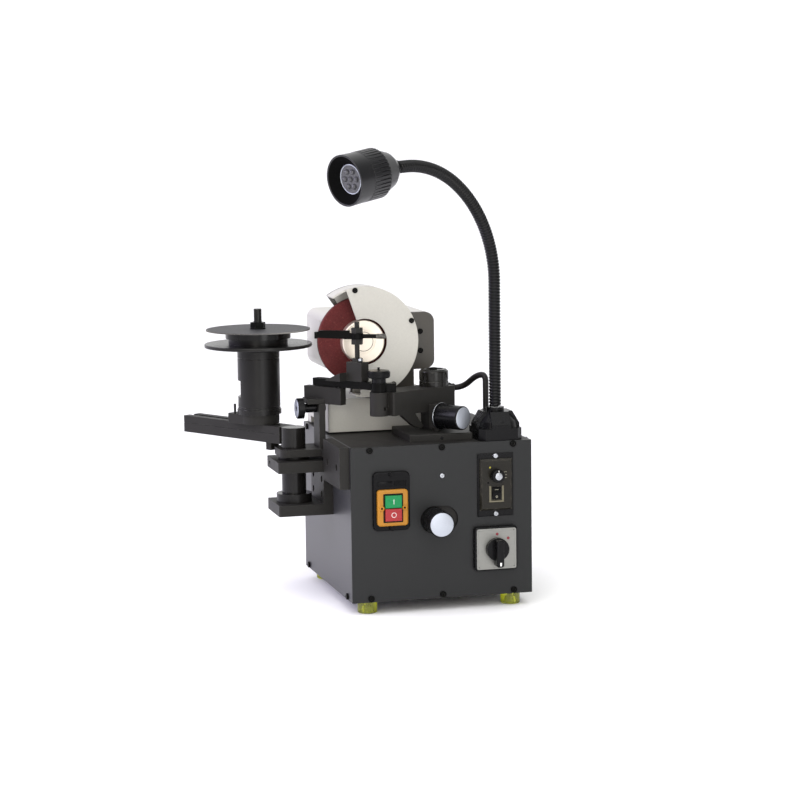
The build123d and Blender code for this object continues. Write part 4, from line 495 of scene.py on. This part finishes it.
# The lamp's shell keeps more sheen than the knobs. The gooseneck's skin was drawn through a polished die, so
# it has hardly any grain.
lamp_skin = moulded("abs_lamp_black", "#0f0f11", 0.32, 0.9, 0.02, 0.45)
hose_skin = moulded("pvc_hose_black", "#060607", 0.22, 0.9, 0.005, 0.2)
print("plastics added,", len(FINISH), "finishes in all")

# %% [markdown]
# ## The grinding wheel
# A vitrified wheel is aluminium oxide grit fired in a glassy bond, here red. It has no sheen at all: light
# falls into the pores between the grains. A Voronoi pattern gives grains whose colour darkens towards their
# edges, painted shade for the pores between them, and a few pale grains that the dresser has split.

# %% Grit
wheel_grit, tree, spot = begin("vitrified_grit_red")
rounded = edges(tree, spot, 0.8, 4)[0]
# Grit of 0.4 mm, drawn at 1.8 mm so that it shows.
GRIT = 1.8
grains = add(tree, "TexVoronoi", {"Vector": spot, "Scale": 1 / (GRIT * MM)})
cloud = add(tree, "TexNoise", {"Vector": spot, "Scale": 1 / (22 * MM), "Detail": 4.0}).outputs["Fac"]
tint = add(tree, "SeparateColor", {"Color": grains.outputs["Color"]}).outputs[0]
# Painted shade: each grain darkens towards its edge, where the pores lie in shade.
pore_shade = add(tree, "Mix", {0: grains.outputs["Distance"], 6: linear("#6c2b2b"), 7: linear("#562222")},
            data_type="RGBA").outputs[2]
split = add(tree, "MapRange", {"Value": tint, "From Min": 0.88, "From Max": 1.0, "To Max": 0.25})
body = add(tree, "Mix", {0: split.outputs["Result"], 6: pore_shade, 7: linear("#9c5a52")},
           data_type="RGBA").outputs[2]
stain = add(tree, "Mix", {0: cloud, 6: linear("#c4c4c4"), 7: linear("#ffffff")}, data_type="RGBA").outputs[2]
body = add(tree, "Mix", {0: 1.0, 6: body, 7: stain}, data_type="RGBA", blend_type="MULTIPLY").outputs[2]
bump = add(tree, "Bump", {"Height": grains.outputs["Distance"], "Strength": 0.6, "Distance": 0.25 * MM,
                          "Normal": rounded}, invert=True)
rough = add(tree, "MapRange", {"Value": tint, "To Min": 0.82, "To Max": 0.95}).outputs["Result"]
shader = add(tree, "BsdfPrincipled", {"Base Color": body, "Roughness": rough, "Specular IOR Level": 0.3,
                                      "Normal": bump.outputs["Normal"]})
add(tree, "OutputMaterial", {"Surface": shader.outputs[0]})
FINISH["wheel_grit"] = wheel_grit
print("grit with", round(1 / (GRIT * MM)), "grains to the metre")

# %% [markdown]
# ## Aluminium, feet, lens and ink
# The wheel's flange is turned aluminium, the selector's plate is brushed and clear anodised, and the knob
# ends are satin foil. The feet are cast polyurethane, tinted yellow green, which lets light through. The
# lamp's lens is clear acrylic over white reflectors. Marks are printed ink, thin and slightly uneven.

# %% Aluminium
def aluminium(name, colour, roughness, stretch, line):
    """Aluminium whose fine lines run along the axis with the small stretch, a line width in mm apart."""
    material, tree, spot = begin(name)
    rounded, worn = edges(tree, spot, 0.4, 4)
    drawn = add(tree, "Mapping", {"Vector": spot, "Scale": stretch}).outputs["Vector"]
    brush = add(tree, "TexNoise", {"Vector": drawn, "Scale": 1 / (line * MM), "Detail": 2.0}).outputs["Fac"]
    cloud = add(tree, "TexNoise", {"Vector": spot, "Scale": 1 / (18 * MM), "Detail": 3.0}).outputs["Fac"]
    tone = add(tree, "Mix", {0: brush, 6: linear(colour, 0.9), 7: linear(colour, 1.1)},
               data_type="RGBA").outputs[2]
    tone = add(tree, "Mix", {0: worn, 6: tone, 7: linear(colour, 1.3)}, data_type="RGBA").outputs[2]
    rough = add(tree, "MapRange", {"Value": cloud, "To Min": roughness - 0.06, "To Max": roughness + 0.06})
    bump = add(tree, "Bump", {"Height": brush, "Strength": 0.2, "Distance": 0.03 * MM, "Normal": rounded})
    shader = add(tree, "BsdfPrincipled", {"Base Color": tone, "Metallic": 0.85,
                                          "Roughness": rough.outputs["Result"],
                                          "Normal": bump.outputs["Normal"]})
    add(tree, "OutputMaterial", {"Surface": shader.outputs[0]})
    return material


# Brushing and turning lines are about 0.1 mm apart, drawn at 0.8 mm so that they show.
FINISH["grey_plate"] = aluminium("anodised_plate", "#8c8c87", 0.45, (0.06, 1.0, 1.0), 0.8)
FINISH["turned_aluminium"] = aluminium("turned_aluminium", "#e2d8c8", 0.42, (1.0, 0.3, 1.0), 0.8)
foil = aluminium("satin_foil", "#b9bec6", 0.50, (1.0, 1.0, 1.0), 1.0)
print("aluminium finishes added,", len(FINISH), "in all")

# %% Polyurethane, acrylic and ink
def clear_cast(name, colour, roughness, clear, ior):
    """Cast see-through plastic with faint swirls."""
    material, tree, spot = begin(name)
    rounded = edges(tree, spot, 0.8, 5)[0]
    swirl = add(tree, "TexNoise", {"Vector": spot, "Scale": 1 / (9 * MM), "Detail": 3.0,
                                   "Distortion": 1.5}).outputs["Fac"]
    tone = add(tree, "Mix", {0: swirl, 6: linear(colour, 0.8), 7: linear(colour, 1.2)},
               data_type="RGBA").outputs[2]
    rough = add(tree, "MapRange", {"Value": swirl, "To Min": roughness - 0.05, "To Max": roughness + 0.05})
    bump = add(tree, "Bump", {"Height": swirl, "Strength": 0.1, "Distance": 0.1 * MM, "Normal": rounded})
    shader = add(tree, "BsdfPrincipled", {"Base Color": tone, "Roughness": rough.outputs["Result"],
                                          "IOR": ior, "Transmission Weight": clear,
                                          "Normal": bump.outputs["Normal"]})
    add(tree, "OutputMaterial", {"Surface": shader.outputs[0]})
    return material


FINISH["foot_rubber"] = clear_cast("polyurethane_yellow_green", "#c6cc2c", 0.18, 0.8, 1.5)
FINISH["lens_clear"] = clear_cast("acrylic_lens", "#4e4e52", 0.2, 0.1, 1.49)
white_ink = moulded("ink_white", "#eeeeea", 0.5, 0.9, 0.01)
red_ink = moulded("ink_red", "#7e2f38", 0.5, 0.9, 0.01)
pale_ink = moulded("ink_pale_grey", "#8f8c7c", 0.5, 0.9, 0.01)
beige_ink = moulded("ink_beige", "#6b6653", 0.5, 0.9, 0.01)
amber_lens = moulded("indicator_amber", "#a9a03c", 0.25, 0.9, 0.01)

# %% [markdown]
# ## Dress the CAD nodes
# Each node's record says which finish it has, so one loop puts the finishes on. A few turned pieces
# have lathe rings about their own axis, so they get their own version, the head's cover plate has its own
# paint, and the lamp's shell its own plastic.

# %% Finishes on the nodes
own_finish = {"blade_column": turned_blued, "blade_flange": turned_blued, "swivel_shaft": turned_shaft,
              "arm_shaft": turned_cap, "head_bracket": cover_paint, "lamp_shell": lamp_skin}
for part in frame["record"]["subparts"]:
    node = part["node"]
    finish = own_finish.get(node, FINISH[part["material_slot"]])
    frame["nodes"][node].material_slots[0].material = finish
lead.data.materials.append(FINISH["lead_black"])
neck.data.materials.append(hose_skin)
print("dressed", len(frame["nodes"]), "nodes")

# %% [markdown]
# ## Turned and cut trim
# The rest are small parts: discs and rings come off a lathe, so we draw half of their outline and spin it
# a full turn. Plates and bars are sawn or printed rectangles, so a cube with bevelled edges will do. Each is
# made lying on Z = 0 in millimetres, then one matrix puts it in its place on the machine.

# %% Trim helpers
def turned(outline, around=64):
    """Spin an outline of (radius, height) points a full turn about Z."""
    bm = bmesh.new()
    verts = [bm.verts.new((r, 0, z)) for r, z in outline]
    rim = [bm.edges.new(pair) for pair in zip(verts, verts[1:])]
    bmesh.ops.spin(bm, geom=verts + rim, cent=(0, 0, 0), axis=(0, 0, 1), angle=2 * math.pi, steps=around,
                   use_merge=True)
    bmesh.ops.remove_doubles(bm, verts=bm.verts, dist=0.001)
    bmesh.ops.recalc_face_normals(bm, faces=bm.faces)
    return bm


def slab(width, height, thick, edge):
    """Rectangular slab on Z = 0 with bevelled edges."""
    bm = bmesh.new()
    size = Matrix.Diagonal((width, height, thick, 1))
    bmesh.ops.create_cube(bm, size=1.0, matrix=Matrix.Translation((0, 0, thick / 2)) @ size)
    bmesh.ops.bevel(bm, geom=bm.edges[:], offset=edge, offset_type="OFFSET", segments=2, profile=0.5,
                    affect="EDGES", material=-1)
    return bm


def rim_of(width, height, rim, thick, corner):
    """Flat rectangular frame on Z = 0 with rounded outer corners."""
    bm = bmesh.new()
    bmesh.ops.create_grid(bm, x_segments=1, y_segments=1, size=0.5,
                          matrix=Matrix.Diagonal((width, height, 1, 1)))
    bmesh.ops.bevel(bm, geom=bm.verts[:], offset=corner, offset_type="OFFSET", segments=5, profile=0.5,
                    affect="VERTICES", material=-1)
    bmesh.ops.inset_region(bm, faces=bm.faces[:], thickness=rim, use_boundary=True, use_even_offset=True)
    inner = min(bm.faces, key=lambda f: f.calc_center_median().length)
    bmesh.ops.delete(bm, geom=[inner], context="FACES")
    raised = bmesh.ops.extrude_face_region(bm, geom=bm.faces[:])["geom"]
    bmesh.ops.translate(bm, vec=(0, 0, thick), verts=[v for v in raised if isinstance(v, bmesh.types.BMVert)])
    bmesh.ops.recalc_face_normals(bm, faces=bm.faces)
    return bm


def settle(bm, name, place, finish, body):
    """Put a millimetre bmesh in its place, dress it, and let it ride on a body."""
    bmesh.ops.transform(bm, matrix=Matrix.Scale(MM, 4) @ place, verts=bm.verts)
    piece = as_object(bm, name)
    piece.data.materials.append(finish)
    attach(piece, body)
    return piece


def on_front(x, y, z):
    """Place on a face that looks to the front: the piece's own Z comes towards us."""
    return Matrix.Translation((x, y, z)) @ Matrix.Rotation(math.radians(90), 4, "X")


print("trim helpers ready")

# %% [markdown]
# ## Switch marks
# The start button carries a bar and the stop button a ring, printed in white: the common signs for on and
# off. A thin black frame round the two buttons is painted shade for the gap they sit in. The orange surround
# has a small lug at each side where a cover would clip on. The black plate above it has a plain raised pad
# beside a row of grip ribs, and the plate's two screws are covered with plugs.

# %% Switch
SWITCH_X = -85
SWITCH_Z = 173.5
START_Z, STOP_Z = 184, 163
BUTTON_FRONT, BEZEL_FRONT, PLUG_FRONT, PLATE_FRONT = -190.0, -185, -179.6, -177
LUG_REACH = 18.6
PAD_Z = 211.5
gloss = FINISH["gloss_black"]
settle(slab(1.0, 8.0, 0.25, 0.1), "start_mark", on_front(SWITCH_X, BUTTON_FRONT, START_Z), white_ink,
       "start")
ring = ((3.4, 0), (3.4, 0.25), (4.1, 0.25), (4.1, 0))
settle(turned(ring, 48), "stop_mark", on_front(SWITCH_X, BUTTON_FRONT, STOP_Z), white_ink, "stop")
lug = ((1.6, 0), (1.6, 1.6), (2.2, 2.4), (3.4, 2.4), (4.2, 1.6), (4.2, 0))
pin = ((0, 0.9), (1.5, 0.9), (1.5, 0))
for side, name in ((-1, "left"), (1, "right")):
    place = on_front(SWITCH_X + side * LUG_REACH, BEZEL_FRONT, SWITCH_Z)
    settle(turned(lug, 32), "cover_lug_" + name, place, FINISH["orange_plastic"], "cabinet")
    settle(turned(pin, 24), "lug_pin_" + name, place, gloss, "cabinet")
# Painted shade: a flat black frame stands for the shadow in the gap round the two buttons.
settle(rim_of(32.4, 46.4, 2.2, 0.3, 1.2), "button_gap_shade", on_front(SWITCH_X, BEZEL_FRONT, SWITCH_Z), gloss,
       "cabinet")
plug = ((0, 0.5), (2.2, 0.5), (2.6, 0.9), (4.2, 0.9), (4.5, 0.4), (4.5, -0.4))
for z, name in ((226.2, "top"), (139.8, "foot")):
    settle(turned(plug, 32), "screw_plug_" + name, on_front(SWITCH_X, PLUG_FRONT, z), gloss, "cabinet")
settle(slab(24, 8, 0.9, 0.4), "switch_pad", on_front(-96, PLATE_FRONT, PAD_Z), gloss, "cabinet")
for k in range(6):
    settle(slab(1.6, 9.0, 1.4, 0.4), f"switch_rib_{k + 1}", on_front(-80.0 + 3.6 * k, PLATE_FRONT, PAD_Z),
           gloss, "cabinet")
print("switch marks, lugs, pad and ribs")

# %% [markdown]
# ## Speed controller
# The dial has a bright spun cap with a white pointer line, three printed dashes beside it, and two
# indicators. Pale strips frame the rocker switch. The rocker has a bar and a ring of its own, which lean
# with its two slopes.

# %% Controller trim
FACE = -178.0
DIAL_X, DIAL_Z = 88.5, 216
DIAL_FRONT = -192.4
ROCKER = (DIAL_X, -175.5, 187)
ROCKER_SLOPE = 8
ROCKER_RISE = 4.5
cap = ((0, 1.1), (1.0, 1.3), (4.6, 0.5), (5.4, 0.5), (6.0, 0))
settle(turned(cap), "dial_cap", on_front(DIAL_X, DIAL_FRONT, DIAL_Z), FINISH["bright_zinc"], "speed_dial")
settle(slab(1.1, 3.4, 0.3, 0.1), "dial_pointer", on_front(DIAL_X, DIAL_FRONT, DIAL_Z + 8.0), white_ink,
       "speed_dial")
for k, z in enumerate((221.0, 216.2, 211.4)):
    settle(slab(5.0, 0.8, 0.2, 0.08), f"dial_dash_{k + 1}", on_front(103.5, FACE, z), pale_ink, "cabinet")
dome = ((0, 1.2), (0.9, 1.0), (1.5, 0.4), (1.6, 0))
settle(turned(dome, 24), "ready_light", on_front(78.0, FACE, 229.0), amber_lens, "cabinet")
settle(turned(dome, 24), "fault_light", on_front(74.5, FACE, 204.0), gloss, "cabinet")
for side, name in ((-1, "left"), (1, "right")):
    settle(slab(3.2, 24.0, 0.5, 0.2), "rocker_strip_" + name, on_front(DIAL_X + side * 10.6, FACE, ROCKER[2]),
           beige_ink, "cabinet")
settle(slab(24.4, 2.4, 0.5, 0.2), "rocker_strip_foot", on_front(DIAL_X, FACE, 173.8), beige_ink, "cabinet")


def on_rocker(side, shift):
    """Place on the upper (1) or lower (-1) slope of the rocker."""
    lean = Matrix.Rotation(math.radians(90 - side * ROCKER_SLOPE), 4, "X")
    return Matrix.Translation(ROCKER) @ lean @ Matrix.Translation((0, side * shift, ROCKER_RISE))


settle(slab(6.0, 0.9, 0.2, 0.08), "rocker_bar", on_rocker(1, 5.4), pale_ink, "rocker")
ring = ((1.1, 0), (1.1, 0.2), (1.9, 0.2), (1.9, 0))
settle(turned(ring, 24), "rocker_ring", on_rocker(-1, 5.0), pale_ink, "rocker")
print("controller trim")

# %% [markdown]
# ## Selector marks
# The rotary selector has a printed red dot at each of its two settings, a raised border round its plate, and
# a white mark on the tail of its grip, which turns with it.

# %% Selector trim
SELECTOR_X = 87
dot = ((0, 0.25), (2.2, 0.25), (2.4, 0))
for k, (x, z) in enumerate(((88.0, 121.0), (106.5, 113.5))):
    settle(turned(dot, 32), f"setting_dot_{k + 1}", on_front(x, -181.5, z), red_ink, "cabinet")
settle(rim_of(66.0, 66.0, 2.9, 1.4, 3.0), "selector_border", on_front(SELECTOR_X, -180, 97),
       FINISH["grey_plate"], "cabinet")
settle(slab(3.0, 5.6, 0.3, 0.12), "grip_mark", on_front(SELECTOR_X, -204.9, 75.4), white_ink, "selector")
print("selector marks")

# %% [markdown]
# ## Knob ends
# The two large hand knobs end in a plain silver disc set into the rim, and the stroke knob has a bright
# ring at its root. The guide knob's end is faced off on the lathe with a dark socket in the middle.

# %% Silver discs
STROKE_ROOT = (14.6, -110, 307)
STROKE_HEADING = math.radians(-55.5)
GUIDE_END = (-201.3, -12, 316.5)
disc = ((0, 0.7), (18.0, 0.7), (18.8, 0.35), (19.0, 0))
settle(turned(disc), "hand_disc", on_front(-14, -218, 148), foil, "hand_grip")
stroke = Matrix.Translation(STROKE_ROOT) @ Matrix.Rotation(STROKE_HEADING, 4, "Z")
along_x = Matrix.Rotation(math.radians(90), 4, "Y")
against_x = Matrix.Rotation(math.radians(-90), 4, "Y")
small_disc = ((0, 0.7), (16.6, 0.7), (17.3, 0.35), (17.5, 0))
settle(turned(small_disc), "stroke_disc", stroke @ Matrix.Translation((48.3, 0, 0)) @ along_x, foil, "stroke")
band = ((21.5, 0), (21.9, 0.3), (21.9, 1.1), (21.5, 1.4))
settle(turned(band), "stroke_ring", stroke @ Matrix.Translation((1.6, 0, 0)) @ along_x, FINISH["bright_zinc"],
       "stroke")
face = ((4.5, 0), (4.5, 0.6), (14.4, 0.6), (15.0, 0))
guide_end = Matrix.Translation(GUIDE_END) @ against_x
settle(turned(face), "guide_face", guide_end, foil, "guide")
socket = ((0, 0.3), (4.4, 0.3), (4.4, 0))
settle(turned(socket, 32), "guide_socket", guide_end, gloss, "guide")
print("silver discs")

# %% [markdown]
# ## Feed pawl and saddle
# A hard tip is screwed to the pawl's end, and the other end of its rod has a knurled sleeve, rubbed bright
# by fingers. A plated pan screw locks the post in the saddle. A straight knurl is pressed in by a ribbed
# roller: extruding every other face of a ring outwards gives the same rhythm.

# %% Pawl and saddle trim
POST = (-112.636, -72.804, 0)
PAWL_HEADING = math.radians(155)
pawl = Matrix.Translation(POST) @ Matrix.Rotation(PAWL_HEADING, 4, "Z")
settle(slab(4.4, 7.0, 11.0, 0.6), "pawl_tip", pawl @ Matrix.Translation((67.6, 0, 433.6)),
       FINISH["dark_steel"], "finger")


def knurled(radius, length, ridges, depth):
    """Sleeve on Z = 0 with straight ridges round it."""
    bm = bmesh.new()
    bmesh.ops.create_cone(bm, cap_ends=True, segments=2 * ridges, radius1=radius, radius2=radius,
                          depth=length, matrix=Matrix.Translation((0, 0, length / 2)))
    sides = [f for f in bm.faces if abs(f.normal.z) < 0.5]
    sides.sort(key=lambda f: math.atan2(f.calc_center_median().y, f.calc_center_median().x))
    for f in bmesh.ops.extrude_discrete_faces(bm, faces=sides[::2])["faces"]:
        middle = f.calc_center_median()
        outward = Vector((middle.x, middle.y, 0)).normalized() * depth
        bmesh.ops.translate(bm, vec=outward, verts=f.verts)
    return bm


settle(knurled(3.7, 14.0, 18, 0.45), "rod_sleeve", pawl @ Matrix.Translation((-46.2, 0, 438)) @ along_x,
       worn_steel, "finger")
pan = ((0, 2.6), (1.8, 2.4), (3.2, 1.6), (3.7, 0.6), (3.7, -2.0))
settle(turned(pan, 32), "post_screw", on_front(-109.6, -80.8, 399.4), FINISH["bright_zinc"], "saddle")
print("pawl tip, sleeve and post screw")

# %% [markdown]
# ## Feed arm trim
# The cap on the arm's shaft is dished, with a raised rim and a socket screw in the middle, and the clamp
# knob is straight knurled for grip. A small screw plug sits in the front of the feed base.

# %% Arm trim
CLAMP_PLACE = (-86.825, -109.665, 375.6)
on_arm = Matrix.Translation(ARM_AXIS)
rim = ((14.0, 0), (15.5, 1.6), (20.5, 1.6), (21.0, 1.2), (21.0, 0))
settle(turned(rim), "cap_rim", on_arm @ Matrix.Translation((0, 0, 375.9)), turned_cap, "arm")
bolt = ((2.6, 3.0), (2.6, 4.2), (5.4, 4.2), (6.2, 3.4), (6.2, 0))
settle(turned(bolt, 48), "cap_bolt", on_arm @ Matrix.Translation((0, 0, 375.6)), FINISH["dark_steel"], "arm")
screw = ((0, 0.2), (2.6, 0.2), (2.6, -0.5))
settle(turned(screw, 24), "base_screw", on_front(9, -140, 275), gloss, "cabinet")
settle(knurled(18.05, 7.0, 40, 0.5), "clamp_knurl", Matrix.Translation(CLAMP_PLACE), FINISH["black_plastic"],
       "clamp")
print("arm trim")

# %% [markdown]
# ## Housing panel
# A plain thin plate with softened edges sits on the motor housing's left wall. It has the same enamel.

# %% Housing panel
on_left = Matrix.Translation((-142.0, 112.0, 429.0)) @ against_x
settle(slab(46.0, 100.0, 0.8, 0.35), "housing_panel", on_left, FINISH["cream_paint"], "head")
print("housing panel")

# %% [markdown]
# ## Guard lining
# The inside of the wheel guard is cream as well, which shows above the wheel where the front plate is cut
# away. The lining is a flat ring with a gap at the left: its thin section is swept round the spindle by part
# of a turn, and the two open ends are closed with a face each. A fine dark ring on the hub's face is painted
# shade for a turned groove there.

# %% Guard lining
SPINDLE_X, SPINDLE_Z = -90, 423.5
LINING_TURN, LINING_START = math.radians(218), math.radians(-98)
bm = bmesh.new()
bmesh.ops.create_grid(bm, x_segments=1, y_segments=1, size=0.5, matrix=on_front(0, 0, 0))
section = Matrix.Translation((62, 0, 0.4)) @ Matrix.Diagonal((50, 1, 0.8, 1))
bmesh.ops.transform(bm, matrix=section, verts=bm.verts)
bmesh.ops.delete(bm, geom=bm.faces[:], context="FACES_ONLY")
bmesh.ops.spin(bm, geom=bm.verts[:] + bm.edges[:], cent=(0, 0, 0), axis=(0, 0, 1), angle=LINING_TURN,
               steps=72)
bmesh.ops.holes_fill(bm, edges=bm.edges[:], sides=4)
bmesh.ops.recalc_face_normals(bm, faces=bm.faces)
in_guard = on_front(SPINDLE_X, 9.9, SPINDLE_Z) @ Matrix.Rotation(LINING_START, 4, "Z")
settle(bm, "guard_lining", in_guard, FINISH["cream_paint"], "head")
# Painted shade: a thin near black ring stands for the shade in the hub's turned groove.
groove_shade = ((15.2, 0), (15.2, 0.15), (16.1, 0.15), (16.1, 0))
settle(turned(groove_shade), "hub_groove_shade", on_front(SPINDLE_X, -26, SPINDLE_Z), FINISH["dark_steel"], "wheel")
print("guard lining and hub groove")

# %% [markdown]
# ## Lamp face
# Deep in the lamp's funnel a thin bright ring holds the lens, with seven small bulges over the light
# emitting diodes. A near black lining without sheen inside the funnel is painted shade for the deep mouth.
# The lamp is off. It leans nine degrees down from the end of the neck, so its frame is built from that.

# %% Lamp trim
LAMP_LEAN = math.radians(9)
lamp_frame = Matrix.Translation(neck_end) @ Matrix.Rotation(NECK_HEADING, 4, "Z")
lamp_frame = lamp_frame @ Matrix.Rotation(LAMP_LEAN, 4, "Y")
ring = ((21.8, 0), (21.8, 0.4), (22.3, 0.8), (22.9, 0.8), (23.4, 0.4), (23.4, 0))
settle(turned(ring), "lens_ring", lamp_frame @ Matrix.Translation((96.0, 0, 0)) @ along_x, foil, "lamp")
mouth_shade = ((23.9, 96.5), (28.0, 100.4), (33.0, 105.1), (37.0, 108.8))
# Painted shade: the funnel's lining is near black with hardly any sheen, so the mouth stays as dark as its
# shade.
mouth_shade_finish = moulded("painted_mouth_shade", "#070707", 0.85, 0.9, 0.02, 0.05)
settle(turned(mouth_shade), "lamp_mouth_shade", lamp_frame @ along_x, mouth_shade_finish, "lamp")
print("lens ring and baffle")

# %% [markdown]
# ## Lead gland
# Where the lead goes through the top plate it is held by a gland: a hexagon with a domed nut on it.

# %% Gland
bm = bmesh.new()
bmesh.ops.create_cone(bm, cap_ends=True, segments=6, radius1=9.6, radius2=9.6, depth=5.0,
                      matrix=Matrix.Translation((0, 0, 2.5)))
bmesh.ops.bevel(bm, geom=bm.edges[:], offset=0.5, offset_type="OFFSET", segments=2, profile=0.5,
                affect="EDGES", material=-1)
lead_foot = Matrix.Translation(LEAD_ROUTE[-1])
settle(bm, "gland_hexagon", lead_foot, FINISH["black_plastic"], "cabinet")
nut = ((5.2, 13.5), (6.6, 13.0), (7.8, 11.0), (8.2, 8.0), (8.2, 4.5), (5.2, 4.5))
settle(turned(nut, 40), "gland_nut", lead_foot, FINISH["black_plastic"], "cabinet")
print("gland")
